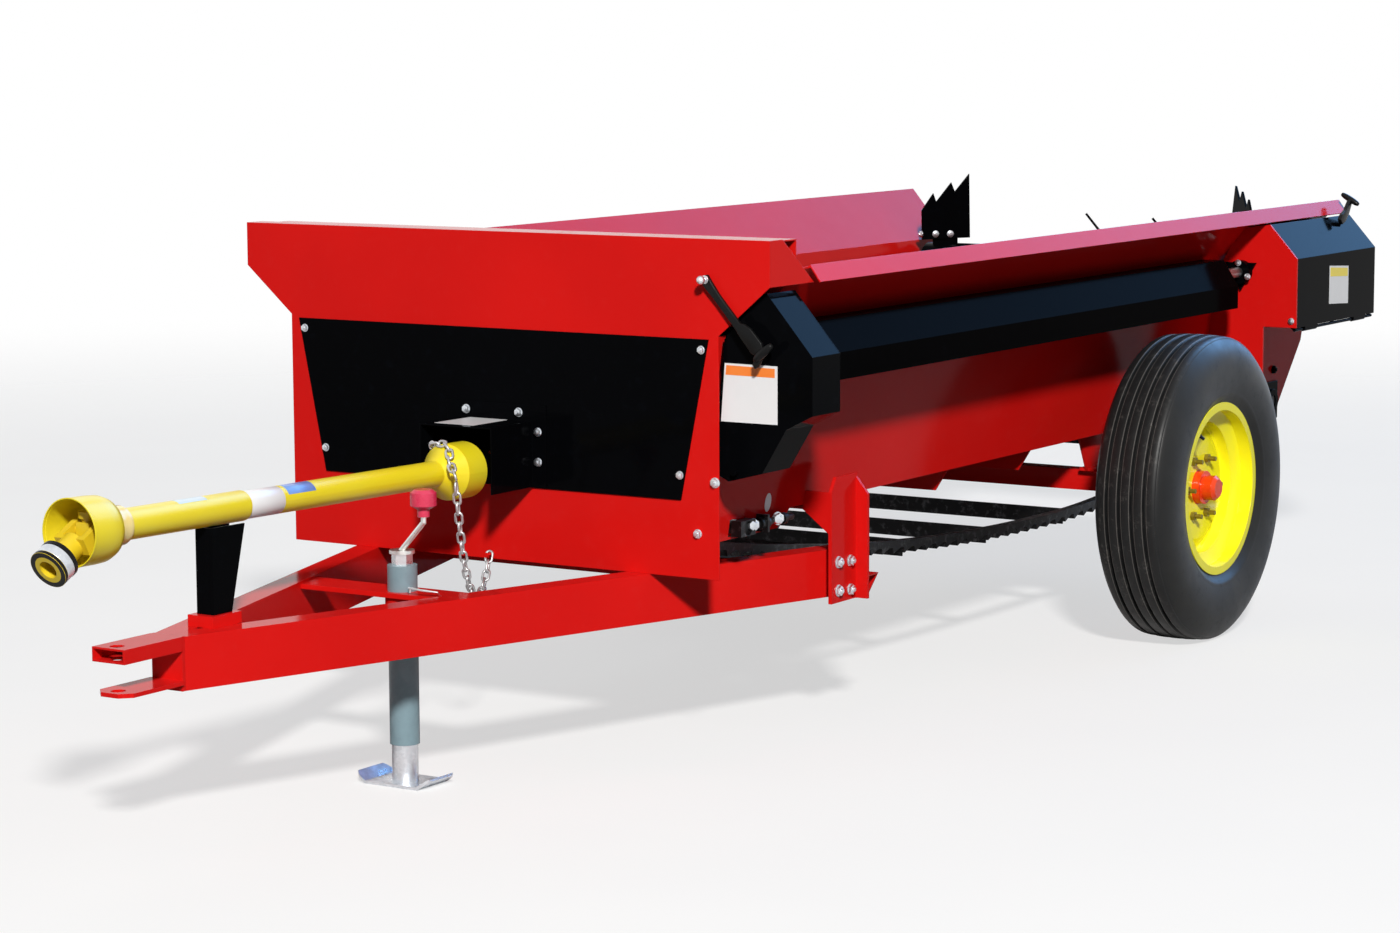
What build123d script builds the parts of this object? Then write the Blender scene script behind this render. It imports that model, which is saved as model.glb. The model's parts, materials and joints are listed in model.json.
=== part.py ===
from build123d import *
import os
from math import asinh, atan2, cos, cosh, degrees, hypot, pi, radians, sin, sinh, sqrt, tan

# Towed manure spreader.  Millimetres, X forward, Y left, Z up, ground at z = 0.
# While it is modelled x = 0 is the wheel axle; save() moves each piece so that
# the origin lies on the ground under the middle of the machine.

# ---- driving sizes -------------------------------------------------------
SHEET = 3.0              # body panels
PLATE = 8.0              # brackets and posts
RUN = 0.05               # radial clearance of a pin or shaft in its hole
GAP = 0.3                # clearance between pieces that only rest near each other

# wheels
TYRE_DIA = 735.0
TYRE_WIDTH = 200.0
TREAD_WIDTH = 150.0
WHEEL_Y = 698.0          # middle of the tyre
RIM_FLANGE_DIA = 415.0
RIM_WIDTH = 160.0
RIM_SEAT_DIA = 385.0
RIM_WELL_DIA = 325.0
RIM_WALL = 4.0
RIM_SHOULDER = 34.0      # rim edge to the start of the slope into the well
RIM_SLOPE = 14.0         # width of that slope
DISC_INSET = 58.0        # rim edge to the flat of the disc
DISC_FLAT_DIA = 250.0
DISC_BORE_DIA = 84.0
HUB_FLANGE_DIA = 190.0
HUB_BARREL_DIA = 92.0
HUB_CAP_DIA = 60.0
HUB_CAP_LENGTH = 34.0
HUB_BACK = 88.0          # middle of the tyre to the hub's inner end
STUD_CIRCLE_DIA = 152.0
STUD_DIA = 12.0
STUD_COUNT = 6
SPINDLE_DIA = 40.0
AXLE_SIZE = 50.0
AXLE_SETBACK = 50.0      # end of the square axle to the hub

# box
BOX_FRONT_X = 1755.0     # inner front wall
FACE_X = 1878.0          # outer front panel
FLOOR_Z = 505.0
FLOOR_SHEET = 5.0
WALL_FOOT = (472.4, 429.0)     # y, z of the outer surface
WALL_BEND_Y = 535.0
WALL_OVER_TYRE = 138.0   # the box starts to widen this far above the tyres
WALL_FLARE = (107.0, 129.0)    # y, z from the bend to the top edge
WALL_HEM = (22.0, -30.0)       # y, z from the top edge to the lip
WALL_REAR_TOP_X = -1045.0
WALL_REAR_X = -1146.0
WALL_EDGE_Z = 486.0      # lower edge between the axle and the posts
HEADER_RISE = 62.0       # header above the walls' top edge
HEADER_DEPTH = 91.0      # height of the header's wings
HEADER_HALF = 653.0
HEADER_LIP = 50.0
HEADER_RETURN = 170.0
FACE_BOTTOM_Z = 388.0
COVER_INSET = (22.0, 7.0)      # y, z from the bend to the cover's upper corner
COVER_BOTTOM = (447.0, 543.0)
COVER_LAP = 25.0
COVER_HOLE_DIA = 64.0
HOOD_HALF = 90.0
HOOD_FLANGE = 34.0
HOOD_Z = (545.0, 680.0)
HOOD_FRONT_X = 2025.0

# drawbar and hitch
BEAM_HEIGHT = 100.0
BEAM_WIDTH = 54.0
BEAM_WALL = 5.0
BEAM_FRONT_X = 2903.0
BEAM_FRONT_HALF = 36.0
BEAM_REAR_X = 1356.0
BEAM_REAR_Y = 541.0
POST_X = (1351.0, 1460.0)
POST_Z = (280.0, 545.0)
TIE_SIZE = 50.0
HITCH_REACH = 164.0
HITCH_TUBE = (76.0, 27.0)      # width, height
HITCH_TUBE_WALL = 4.0
HITCH_TUBE_Z = 362.0
HITCH_PLATE = (80.0, 8.0)      # width, thickness
HITCH_PLATE_Z = 300.0
HITCH_CHAMFER = 20.0
HITCH_PIN_DIA = 27.0
HITCH_PIN_EDGE = 24.0    # pin hole to the end of the jaws
POINT_PLATE = (82.0, 60.0, 22.0)   # gusset under the driveline's stand

# jack
JACK_X = 2272.0
JACK_Y = 50.0
JACK_TUBE_DIA = 59.0
JACK_LEG_DIA = 52.0
JACK_TUBE_Z = (79.0, 435.0)
JACK_LEG_TOP = 300.0
JACK_FOOT = (100.0, 180.0, 6.0)
JACK_FOOT_CORNER = 22.0
JACK_SHELF = (84.0, 10.0)      # length, thickness
JACK_SLEEVE = 5.0
JACK_LEG_WALL = 4.0
JACK_NUT = (36.0, 22.0)        # across the flats, height
JACK_SCREW_DIA = 16.0
CRANK_FLANGE = (50.0, 7.0)     # diameter, thickness
CRANK_BAR = (11.0, 54.0, 58.0)      # diameter, reach sideways, rise to the bend
CRANK_KNOB = (52.0, 24.0, 14.0, 54.0)   # diameter, its neck's diameter and height, whole height

# driveline
SHAFT_Z = 588.0
REAR_JOINT_X = 1990.0
DRIVELINE_LENGTH = 1120.0      # joint to joint
DRIVELINE_RISE = 0.93    # degrees above level
DROOP = 29.5             # degrees that the free yoke hangs down
# each bell, from its joint: diameter, mouth, end of the cylinder, end of the cone
REAR_BELL = (115.0, 5.0, 66.0, 108.0)
FRONT_BELL = (125.0, -48.0, 60.0, 100.0)
BELL_WALL = 3.0
FRONT_RING = (68.0, 35.0)      # diameter, length of the clamp ring behind the front bell
SHIELD_DIA = 58.0        # outer shield tube; the inner one slides in it
SHIELD_WALL = 2.2
SHIELD_START = 675.0     # rear end of the outer tube, from the rear joint
SHIELD_OVERLAP = 285.0
STEEL_DIA = 40.0         # telescoping steel tube; its bar slides in it
STEEL_BAR_DIA = 30.0
STEEL_OVERLAP = 400.0
YOKE_GAP = 22.0          # joint centre to the inner face of an ear
YOKE_EAR = 12.0
YOKE_EAR_R = 17.0
YOKE_HUB_DIA = 48.0
YOKE_THROAT = 32.0       # joint centre to the fork's bridge
YOKE_LENGTH = 60.0
FREE_YOKE_THROAT = 38.0  # deeper, for the angle that it hangs at
FREE_YOKE_HUB_DIA = 46.0
TRUNNION_DIA = 20.0
SPLINE_DIA = 35.0
COLLAR_DIA = 74.0
COLLAR_WIDTH = 34.0
COLLAR_REACH = 118.0
STAND_X = (2750.0, 2802.0)     # at the foot
STAND_TOP_X = 2709.0
STAND_WIDTH = 40.0
STAND_SHEET = 4.0
STAND_CLEARANCE = 0.8          # under the shield that lies on it

# restraint chain
LINK_LENGTH = 31.0
LINK_WIDTH = 19.0
LINK_WIRE = 5.0
CHAIN_TOP = (2116.0, 67.0, 590.0)
CHAIN_END = (1892.0, -14.0, 404.0)
CHAIN_ANCHOR = (-13.0, 399.0)  # y, z of the bolt that the last link hangs on
CHAIN_CURVE = 64.0       # size of the hanging curve

# apron
APRON_FRONT_X = 1720.0
APRON_REAR_X = -960.0
SPROCKET_R = 42.0
CHAIN_HALF = 8.0         # half the height of a link
CHAIN_WIDTH = 22.0
CHAIN_Y = 392.0
CHAIN_PITCH = 52.0
CHAIN_HOOK = 13.0
SAG_X = 120.0
SAG_UNDER_AXLE = 52.5    # slack strand below the axle
SLAT_EVERY = 8
SLAT_HEIGHT = 32.0
SLAT_SHEET = 5.0
APRON_SHAFT_DIA = 30.0
BEARER_SIZE = (40.0, 65.0)     # flange, depth
BEARER_X = (1618.0, 1210.0, 802.0, 394.0, -422.0, -780.0)

# beater
BEATER_X = -880.0
BEATER_Z = 812.0
BEATER_TIP_R = 246.0
BEATER_DRUM_DIA = 114.0
BEATER_SHAFT_DIA = 35.0
BEATER_DRUM_HALF = 500.0
PADDLE_WIDTH = 138.0
PADDLE_SHEET = 6.0
PADDLE_PITCH = 45.0      # degrees that a paddle turns from the shaft
# each paddle: place along the shaft, turn about the shaft in degrees
PADDLES = ((-448, 2), (-330, 182), (-210, 120), (-90, 240),
           (130, 60), (235, 260), (325, 62), (430, -14))

# side drive and its guards
SHAFT_OUT = (61.0, -25.0)      # y, z of the side shaft from the wall's bend
SIDE_SHAFT_DIA = 25.4
SIDE_SHAFT_X = (-640.0, 1840.0)
SHIELD_X = (-400.0, 1755.0)
# outline of the shaft's shield, y and z from the shaft
SHIELD_FOLDS = ((-51.0, 37.0), (4.0, 37.0), (44.0, -26.0), (44.0, -82.0), (26.0, -82.0))
GUARD_SHEET = 2.5
FRONT_GUARD_X = (1758.0, 1862.0)
FRONT_GUARD_OUT = 87.0         # guard beyond the header
REAR_GUARD_X = (-1045.0, -520.0)
REAR_GUARD_Y = 746.0
REAR_GUARD_DROP = 101.0        # guard's lower edge below the beater's shaft
REAR_GUARD_SEAT = (8.0, -3.2)  # y, z from the wall's lip to the guard's top
BULKHEAD_LOW = (657.0, 545.0)
BULKHEAD_SHEET = 6.0
GUARD_PIVOT = (566.0, 604.0)
HINGE_INSET = (7.0, 6.0)       # y, z from the rear guard's lower edge
HINGE_PIN_DIA = 8.0
HINGE_KNUCKLE = 80.0
DRIVE_WIDTH = 12.0
DRIVE_CHAIN = 10.0             # height of the roller chains
GEARBOX_X = -585.0
GEAR_SPROCKET_R = 38.0
BEATER_SPROCKET_R = 60.0
REAR_DRIVE_Y = 694.0
FRONT_DRIVE_X = 1800.0
SIDE_SPROCKET_R = 52.0
INPUT_SPROCKET_R = 45.0

# ---- places that follow from the sizes -----------------------------------
AXLE_Z = TYRE_DIA / 2
SAG_Z = AXLE_Z - AXLE_SIZE / 2 - SAG_UNDER_AXLE
WALL_BEND = (WALL_BEND_Y, TYRE_DIA + WALL_OVER_TYRE)
WALL_TOP = (WALL_BEND[0] + WALL_FLARE[0], WALL_BEND[1] + WALL_FLARE[1])
WALL_LIP = (WALL_TOP[0] + WALL_HEM[0], WALL_TOP[1] + WALL_HEM[1])
HEADER_TOP_Z = WALL_TOP[1] + HEADER_RISE
HEADER_SIDE_Z = HEADER_TOP_Z - HEADER_DEPTH
COVER_TOP = (WALL_BEND[0] - COVER_INSET[0], WALL_BEND[1] - COVER_INSET[1])
SIDE_SHAFT = (WALL_BEND[0] + SHAFT_OUT[0], WALL_BEND[1] + SHAFT_OUT[1])
SHIELD_LINE = [(SIDE_SHAFT[0] + y, SIDE_SHAFT[1] + z) for y, z in SHIELD_FOLDS]
GUARD_FAR_Y = HEADER_HALF + FRONT_GUARD_OUT
FRONT_GUARD_LINE = [(WALL_BEND[0] + 13, SHAFT_Z - 3), (HEADER_HALF - 28, SHAFT_Z + 17),
                    (GUARD_FAR_Y - 60, SHAFT_Z + 107), (GUARD_FAR_Y, SHAFT_Z + 137),
                    (GUARD_FAR_Y, SIDE_SHAFT[1] - 8), (HEADER_HALF - 16, HEADER_SIDE_Z - 13)]
REAR_GUARD_LINE = [(REAR_GUARD_Y, BEATER_Z - REAR_GUARD_DROP), (REAR_GUARD_Y, SIDE_SHAFT[1] + 37),
                   (WALL_LIP[0] + REAR_GUARD_SEAT[0], WALL_LIP[1] + REAR_GUARD_SEAT[1])]
REAR_HINGE = (REAR_GUARD_LINE[0][0] - HINGE_INSET[0], REAR_GUARD_LINE[0][1] - HINGE_INSET[1])
BEAM_SLOPE = (BEAM_REAR_Y - BEAM_FRONT_HALF) / (BEAM_FRONT_X - BEAM_REAR_X)
BEAM_INSET = BEAM_WIDTH * sqrt(1 + BEAM_SLOPE ** 2)
HITCH_END_X = BEAM_FRONT_X + HITCH_REACH
BEAM_TOP = FACE_BOTTOM_Z
BEAM_BOTTOM = BEAM_TOP - BEAM_HEIGHT
APRON_Z = FLOOR_Z + CHAIN_HALF - SPROCKET_R
TILT = radians(DROOP - DRIVELINE_RISE)
AXLE_HALF = WHEEL_Y - HUB_BACK - AXLE_SETBACK
FRONT_JOINT_X = REAR_JOINT_X + DRIVELINE_LENGTH * cos(radians(DRIVELINE_RISE))
FRONT_X = FRONT_JOINT_X + COLLAR_REACH * cos(TILT) + COLLAR_DIA / 2 * sin(TILT)
SHIFT_X = -(FRONT_X + WALL_REAR_X) / 2


# ---- small tools ---------------------------------------------------------
def box(x0, x1, y0, y1, z0, z1):
    return Pos((x0 + x1) / 2, (y0 + y1) / 2, (z0 + z1) / 2) * Box(x1 - x0, y1 - y0, z1 - z0)


def rod(axis, radius, start, end, u, v):
    """Cylinder along an axis; u and v are its two other coordinates in X, Y, Z order."""
    middle = (start + end) / 2
    places = {"x": (middle, u, v), "y": (u, middle, v), "z": (u, v, middle)}
    turns = {"x": (0, 90, 0), "y": (90, 0, 0), "z": (0, 0, 0)}
    return Pos(*places[axis]) * Rot(*turns[axis]) * Cylinder(radius, end - start)


def tube(axis, outer, inner, start, end, u, v):
    return rod(axis, outer, start, end, u, v) - rod(axis, inner, start - 1, end + 1, u, v)


def plate_x(points, x0, x1):
    """Plate across the machine: points are (y, z)."""
    return extrude(Plane.YZ.offset(x0) * make_face(Polyline(*points, close=True)), amount=x1 - x0)


def plate_y(points, y0, y1):
    """Plate along the machine: points are (x, z)."""
    return extrude(Plane.XZ.offset(-y1) * make_face(Polyline(*points, close=True)), amount=y1 - y0)


def plate_z(points, z0, z1):
    """Level plate: points are (x, y)."""
    return extrude(Plane.XY.offset(z0) * make_face(Polyline(*points, close=True)), amount=z1 - z0)


def bent(points, thick):
    """Outline of a bent sheet whose outer surface follows the points; the sheet lies to their right."""
    inner = []
    steps = [(b[0] - a[0], b[1] - a[1]) for a, b in zip(points, points[1:])]
    normals = [(dy / hypot(dx, dy), -dx / hypot(dx, dy)) for dx, dy in steps]
    for i, (u, v) in enumerate(points):
        before = normals[max(i - 1, 0)]
        after = normals[min(i, len(normals) - 1)]
        scale = thick / (1 + before[0] * after[0] + before[1] * after[1])
        inner.append((u + scale * (before[0] + after[0]), v + scale * (before[1] + after[1])))
    return list(points) + inner[::-1]


def both_ways(points):
    """Outline that is the same left and right of the centreline."""
    return list(points) + [(-y, z) for y, z in reversed(points)]


def mirrored(shape):
    return mirror(shape, about=Plane.XZ)


def pair(shape):
    return [shape, mirrored(shape)]


def wall_y(z):
    """Outer surface of the left side wall at a height."""
    (y0, z0), (y1, z1) = (WALL_FOOT, WALL_BEND) if z < WALL_BEND[1] else (WALL_BEND, WALL_TOP)
    return y0 + (y1 - y0) * (z - z0) / (z1 - z0)


def beam_y(x):
    """Outer face of the left drawbar beam."""
    return BEAM_FRONT_HALF + BEAM_SLOPE * (BEAM_FRONT_X - x)


def outboard(shape):
    """The part of a shape that lies outside the left side wall."""
    low, high, far = WALL_FOOT[1] - 180, HEADER_TOP_Z, GUARD_FAR_Y + 60
    keep = [(wall_y(low), low), WALL_BEND, (wall_y(high), high), (far, high), (far, low)]
    return shape & plate_x(keep, WALL_REAR_X - 50, FACE_X + 50)


def save(name, *shapes):
    solids = []
    for shape in shapes:
        solids += (Pos(SHIFT_X, 0, 0) * shape).solids()
    os.makedirs("parts", exist_ok=True)
    export_step(solids[0] if len(solids) == 1 else Compound(children=solids), f"parts/{name}.step")


# ---- box -----------------------------------------------------------------
def side_wall():
    line = (WALL_LIP, WALL_TOP, WALL_BEND, WALL_FOOT)
    sheet = plate_x(bent(line, SHEET), WALL_REAR_X, FACE_X - SHEET)
    outline = [(FACE_X, 448), (1556, 448), (1514, WALL_EDGE_Z), (-840, WALL_EDGE_Z), (-900, WALL_FOOT[1]),
               (-1038, WALL_FOOT[1]), (WALL_REAR_X, 620), (WALL_REAR_X, 654),
               (WALL_REAR_TOP_X, WALL_BEND[1]), (WALL_REAR_TOP_X, HEADER_TOP_Z), (FACE_X, HEADER_TOP_Z)]
    outside = WALL_LIP[0] + 40
    sheet &= plate_y(outline, 0, outside)
    # flare and lip stop at the header; the drive case is open to the front guard
    sheet -= box(FACE_X - HEADER_RETURN - SHEET, FACE_X, WALL_TOP[0] - 2, outside,
                 WALL_LIP[1] - 22, HEADER_TOP_Z)
    sheet -= box(BOX_FRONT_X + SHEET, FACE_X, WALL_BEND[0] - 35, outside, WALL_BEND[1], HEADER_TOP_Z)
    sheet -= box(BOX_FRONT_X + 10, FACE_X - 20, WALL_FOOT[0] + 8, WALL_BEND[0] + 25,
                 SHAFT_Z + 32, WALL_BEND[1] - 13)
    sheet -= box(APRON_FRONT_X - 30, APRON_FRONT_X + 30, 450, 500, APRON_Z - 18, APRON_Z + 18)
    for x, z, radius in ((APRON_REAR_X, APRON_Z, APRON_SHAFT_DIA / 2 + 2), (BEATER_X, BEATER_Z, 26)):
        sheet -= rod("y", radius, 400, 600, x, z)
    return sheet


def front_wall():
    face = both_ways([(HEADER_HALF, HEADER_TOP_Z), (HEADER_HALF, HEADER_SIDE_Z), WALL_BEND,
                      (WALL_BEND[0], FACE_BOTTOM_Z)])
    opening = both_ways([(COVER_TOP[0] - COVER_LAP, COVER_TOP[1] - COVER_LAP),
                         (COVER_BOTTOM[0] - COVER_LAP, COVER_BOTTOM[1] + COVER_LAP)])
    panel = plate_x(face, FACE_X - SHEET, FACE_X) - plate_x(opening, FACE_X - 2 * SHEET, FACE_X + SHEET)
    lip = box(FACE_X - HEADER_LIP, FACE_X, -HEADER_HALF, HEADER_HALF, HEADER_TOP_Z - SHEET, HEADER_TOP_Z)
    side = plate_y([(FACE_X, HEADER_TOP_Z), (FACE_X - HEADER_LIP, HEADER_TOP_Z),
                    (FACE_X - HEADER_RETURN, HEADER_SIDE_Z), (FACE_X, HEADER_SIDE_Z)],
                   HEADER_HALF - SHEET, HEADER_HALF)
    anchor = rod("x", 2.5, FACE_X - SHEET, FACE_X + 26, *CHAIN_ANCHOR)
    anchor += rod("x", 5, FACE_X + 26, FACE_X + 29, *CHAIN_ANCHOR)
    return panel + lip + side + mirrored(side) + anchor


def inner_wall(walls):
    low = FLOOR_Z + SLAT_HEIGHT + 14
    outline = both_ways([(WALL_TOP[0] - 2, HEADER_TOP_Z - SHEET), (WALL_TOP[0] - 2, WALL_TOP[1]), WALL_BEND,
                         (wall_y(low), low)])
    wall = plate_x(outline, BOX_FRONT_X, BOX_FRONT_X + SHEET)
    top = box(BOX_FRONT_X, FACE_X - HEADER_LIP + 12, -WALL_TOP[0] + 2, WALL_TOP[0] - 2,
              HEADER_TOP_Z - 2 * SHEET, HEADER_TOP_Z - SHEET)
    return wall + top - walls[0] - walls[1]


def front_cover():
    return plate_x(both_ways([COVER_TOP, COVER_BOTTOM]), FACE_X, FACE_X + SHEET) - \
        rod("x", COVER_HOLE_DIA / 2, FACE_X - SHEET, FACE_X + 2 * SHEET, 0, SHAFT_Z)


def pto_hood():
    x0, x1 = FACE_X + SHEET, HOOD_FRONT_X
    z0, z1 = HOOD_Z
    shell = box(x0, x1, -HOOD_HALF, HOOD_HALF, z0, z1)
    shell -= box(x0 - 1, x1 + 1, SHEET - HOOD_HALF, HOOD_HALF - SHEET, z0 - 1, z1 - SHEET)
    wide = HOOD_HALF + HOOD_FLANGE
    flange = box(x0, x0 + SHEET, -wide, wide, z0, z1 + HOOD_FLANGE)
    flange -= box(x0 - 1, x0 + SHEET + 1, SHEET - HOOD_HALF, HOOD_HALF - SHEET, z0 - 1, z1 - SHEET)
    return shell + flange


def floor_sheet(walls):
    sheet = box(APRON_REAR_X + SPROCKET_R + 12, APRON_FRONT_X - SPROCKET_R - 12, -WALL_BEND[0], WALL_BEND[0],
                FLOOR_Z - FLOOR_SHEET, FLOOR_Z)
    half = wall_y(FLOOR_Z) - 1
    sheet &= box(APRON_REAR_X, APRON_FRONT_X, -half, half, 0, FLOOR_Z)
    return sheet - walls[0] - walls[1]


def cross_members():
    flange, depth = BEARER_SIZE
    top = FLOOR_Z - FLOOR_SHEET
    pieces = []
    for x in BEARER_X:
        outline = both_ways([(470, top), (470, top - 14), (438, top - depth)])
        leg = plate_x(outline, x, x + FLOOR_SHEET)
        pieces.append(leg + box(x - flange, x, -470, 470, top - FLOOR_SHEET, top))
    return pieces


# ---- running gear --------------------------------------------------------
def axle():
    half = AXLE_SIZE / 2
    beam = box(-half, half, -AXLE_HALF, AXLE_HALF, AXLE_Z - half, AXLE_Z + half)
    for side in (1, -1):
        ends = sorted((side * AXLE_HALF, side * (WHEEL_Y + 30)))
        beam += rod("y", SPINDLE_DIA / 2, *ends, 0, AXLE_Z)
    return beam


def axle_bracket():
    top = FLOOR_Z - FLOOR_SHEET
    low = AXLE_Z + AXLE_SIZE / 2
    web = plate_y([(-90, top), (-90, top - 20), (-45, low), (45, low), (90, top - 20), (90, top)],
                  440, 440 + PLATE)
    foot = box(-45, 45, 424, 464, low, low + PLATE)
    head = box(-90, 90, 424, 464, top - PLATE, top)
    return web + foot + head


def tyre():
    outer, crown = TYRE_DIA / 2, TYRE_DIA / 2 - 10
    seat, lip = RIM_SEAT_DIA / 2, RIM_FLANGE_DIA / 2
    bead = RIM_WIDTH / 2 - RIM_WALL
    half, tread = TYRE_WIDTH / 2, TREAD_WIDTH / 2
    profile = [(seat, -bead), (lip + 4, -bead), (lip + 28, -half + 8), (lip + 70, -half),
               (crown - 22, -half + 4), (crown, -tread - 6), (outer, -tread + 8), (outer, tread - 8),
               (crown, tread + 6), (crown - 22, half - 4), (lip + 70, half), (lip + 28, half - 8),
               (lip + 4, bead), (seat, bead)]
    face = make_face(Polyline(*[(r, y) for r, y in profile], close=True))
    return Rot(90, 0, 0) * revolve(Plane.XZ * face, Axis.Z)


def wheel_rim():
    half, seat, well, lip = RIM_WIDTH / 2, RIM_SEAT_DIA / 2, RIM_WELL_DIA / 2, RIM_FLANGE_DIA / 2
    wall = RIM_WALL
    # the tyre's side of the sheet: well, slope, seat and flange, the same on both sides
    side = [(half - RIM_SHOULDER - RIM_SLOPE, well), (half - RIM_SHOULDER, seat), (half - wall, seat),
            (half - wall, lip)]
    line = [(-y, r) for y, r in reversed(side)] + side
    section = [(r, y) for y, r in bent(line, wall)]
    barrel = revolve(Plane.XZ * make_face(Polyline(*section, close=True)), Axis.Z)
    flat = half - DISC_INSET
    disc_r, bore = DISC_FLAT_DIA / 2, DISC_BORE_DIA / 2
    dish = [(bore, flat), (disc_r, flat), (disc_r + 24, flat - 14), (well - wall, flat - 14),
            (well - wall, flat - 20), (disc_r + 22, flat - 20), (disc_r - 2, flat - 6), (bore, flat - 6)]
    barrel += revolve(Plane.XZ * make_face(Polyline(*dish, close=True)), Axis.Z)
    for i in range(STUD_COUNT):
        turn = Rot(0, 0, 360 / STUD_COUNT * i) * Pos(STUD_CIRCLE_DIA / 2, 0, flat - 3)
        barrel -= turn * Cylinder(STUD_DIA / 2, 20)
    return Rot(90, 0, 0) * barrel


def hub():
    flat = RIM_WIDTH / 2 - DISC_INSET
    back = flat - 6
    bore = SPINDLE_DIA / 2 + RUN
    barrel, cap = HUB_BARREL_DIA / 2, HUB_CAP_DIA / 2
    shoulder = flat + 18
    end = shoulder + HUB_CAP_LENGTH
    line = [(0, end), (cap - 8, end), (cap, end - 8), (cap, shoulder), (barrel - 6, shoulder),
            (barrel - 6, flat), (DISC_BORE_DIA / 2 - 0.5, flat), (DISC_BORE_DIA / 2 - 0.5, back),
            (HUB_FLANGE_DIA / 2, back), (HUB_FLANGE_DIA / 2, back - 12), (barrel, back - 12),
            (barrel, -HUB_BACK), (bore, -HUB_BACK), (bore, 34), (0, 34)]
    body = revolve(Plane.XZ * make_face(Polyline(*line, close=True)), Axis.Z)
    for i in range(STUD_COUNT):
        place = Rot(0, 0, 360 / STUD_COUNT * i) * Pos(STUD_CIRCLE_DIA / 2, 0, 0)
        body += place * Pos(0, 0, back - 1 + 17) * Cylinder(STUD_DIA / 2 - 0.5, 34)
        body += place * Pos(0, 0, flat + 5) * extrude(RegularPolygon(11, 6), amount=5, both=True)
    return Rot(90, 0, 0) * body


def on_wheel(shape, side):
    """A wheel piece is drawn with +Y towards the machine's outside."""
    turned = mirror(shape, about=Plane.XZ) if side > 0 else shape
    return Pos(0, side * WHEEL_Y, AXLE_Z) * turned


# ---- drawbar -------------------------------------------------------------
def beam():
    outline = [(BEAM_REAR_X, BEAM_REAR_Y), (BEAM_FRONT_X, BEAM_FRONT_HALF),
               (BEAM_FRONT_X, BEAM_FRONT_HALF - BEAM_INSET), (BEAM_REAR_X, BEAM_REAR_Y - BEAM_INSET)]
    solid = plate_z(outline, BEAM_BOTTOM, BEAM_TOP)
    shrink = BEAM_WALL * sqrt(1 + BEAM_SLOPE ** 2)
    hollow = []
    for x, inset in ((BEAM_REAR_X - 5, shrink), (BEAM_FRONT_X + 5, shrink),
                     (BEAM_FRONT_X + 5, BEAM_INSET - shrink), (BEAM_REAR_X - 5, BEAM_INSET - shrink)):
        hollow.append((x, beam_y(x) - inset))
    solid -= plate_z(hollow, BEAM_BOTTOM + BEAM_WALL, BEAM_TOP - BEAM_WALL)
    return solid & box(BEAM_REAR_X, BEAM_FRONT_X, 0, BEAM_REAR_Y, BEAM_BOTTOM, BEAM_TOP)


def hitch():
    plate_front = BEAM_FRONT_X + PLATE
    end, cut = HITCH_END_X, HITCH_CHAMFER
    width, height = HITCH_TUBE
    head = box(BEAM_FRONT_X, plate_front, -BEAM_FRONT_HALF, BEAM_FRONT_HALF,
               BEAM_BOTTOM, HITCH_TUBE_Z + height)
    top = box(plate_front, end, -width / 2, width / 2, HITCH_TUBE_Z, HITCH_TUBE_Z + height)
    top -= box(plate_front, end + 1, HITCH_TUBE_WALL - width / 2, width / 2 - HITCH_TUBE_WALL,
               HITCH_TUBE_Z + HITCH_TUBE_WALL, HITCH_TUBE_Z + height - HITCH_TUBE_WALL)
    wide, thick = HITCH_PLATE
    low = plate_z([(plate_front, -wide / 2), (end - cut, -wide / 2), (end, cut - wide / 2),
                   (end, wide / 2 - cut), (end - cut, wide / 2), (plate_front, wide / 2)],
                  HITCH_PLATE_Z, HITCH_PLATE_Z + thick)
    pin = rod("z", HITCH_PIN_DIA / 2, HITCH_PLATE_Z - 5, HITCH_TUBE_Z + height + 5, end - HITCH_PIN_EDGE, 0)
    return head + top + low - pin


def point_plate():
    """Gusset over the point of the frame that carries the driveline's stand."""
    length, width, height = POINT_PLATE
    middle = sum(STAND_X) / 2
    return box(middle - length / 2, middle + length / 2, -width / 2, width / 2, BEAM_TOP, BEAM_TOP + height)


def post():
    (x0, x1), (z0, z1) = POST_X, POST_Z
    web_y = BEAM_REAR_Y
    web = plate_y([(x0, z0), (x1, z0), (x1, z1 - 30), (x1 - 20, z1), (x0, z1)], web_y, web_y + PLATE)
    outer = plate_x([(web_y, z0), (web_y + 36, z0), (web_y + 36, z1 - 42), (web_y + PLATE, z1 - 8),
                     (web_y, z1 - 8)], x0, x0 + PLATE)
    inner = plate_x([(450, WALL_EDGE_Z + 12), (web_y, BEAM_TOP + 40), (web_y, z1 - 30), (450, z1 - 30)],
                    x1 - PLATE, x1)
    return web + outer + outboard(inner)


def tie_tube():
    x0 = POST_X[0] - TIE_SIZE
    z0 = POST_Z[0] - 2
    half = BEAM_REAR_Y + 30
    outer = plate_x(both_ways([(half, z0 + TIE_SIZE), (half - 25, z0)]), x0, POST_X[0])
    return outer - box(x0 + 4, POST_X[0] - 4, -half - 1, half + 1, z0 + 4, z0 + TIE_SIZE - 4)


def jack_bracket():
    length, thick = JACK_SHELF
    z1 = BEAM_TOP - 4
    x0, x1 = JACK_X - length / 2, JACK_X + length / 2
    shelf = plate_z([(x0, beam_y(x0) - BEAM_INSET), (x1, beam_y(x1) - BEAM_INSET),
                     (x1, BEAM_INSET - beam_y(x1)), (x0, BEAM_INSET - beam_y(x0))], z1 - thick, z1)
    sleeve = rod("z", JACK_TUBE_DIA / 2 + JACK_SLEEVE, BEAM_BOTTOM + 22, z1, JACK_X, JACK_Y)
    return shelf + sleeve - rod("z", JACK_TUBE_DIA / 2, 0, JACK_TUBE_Z[1], JACK_X, JACK_Y)


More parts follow.
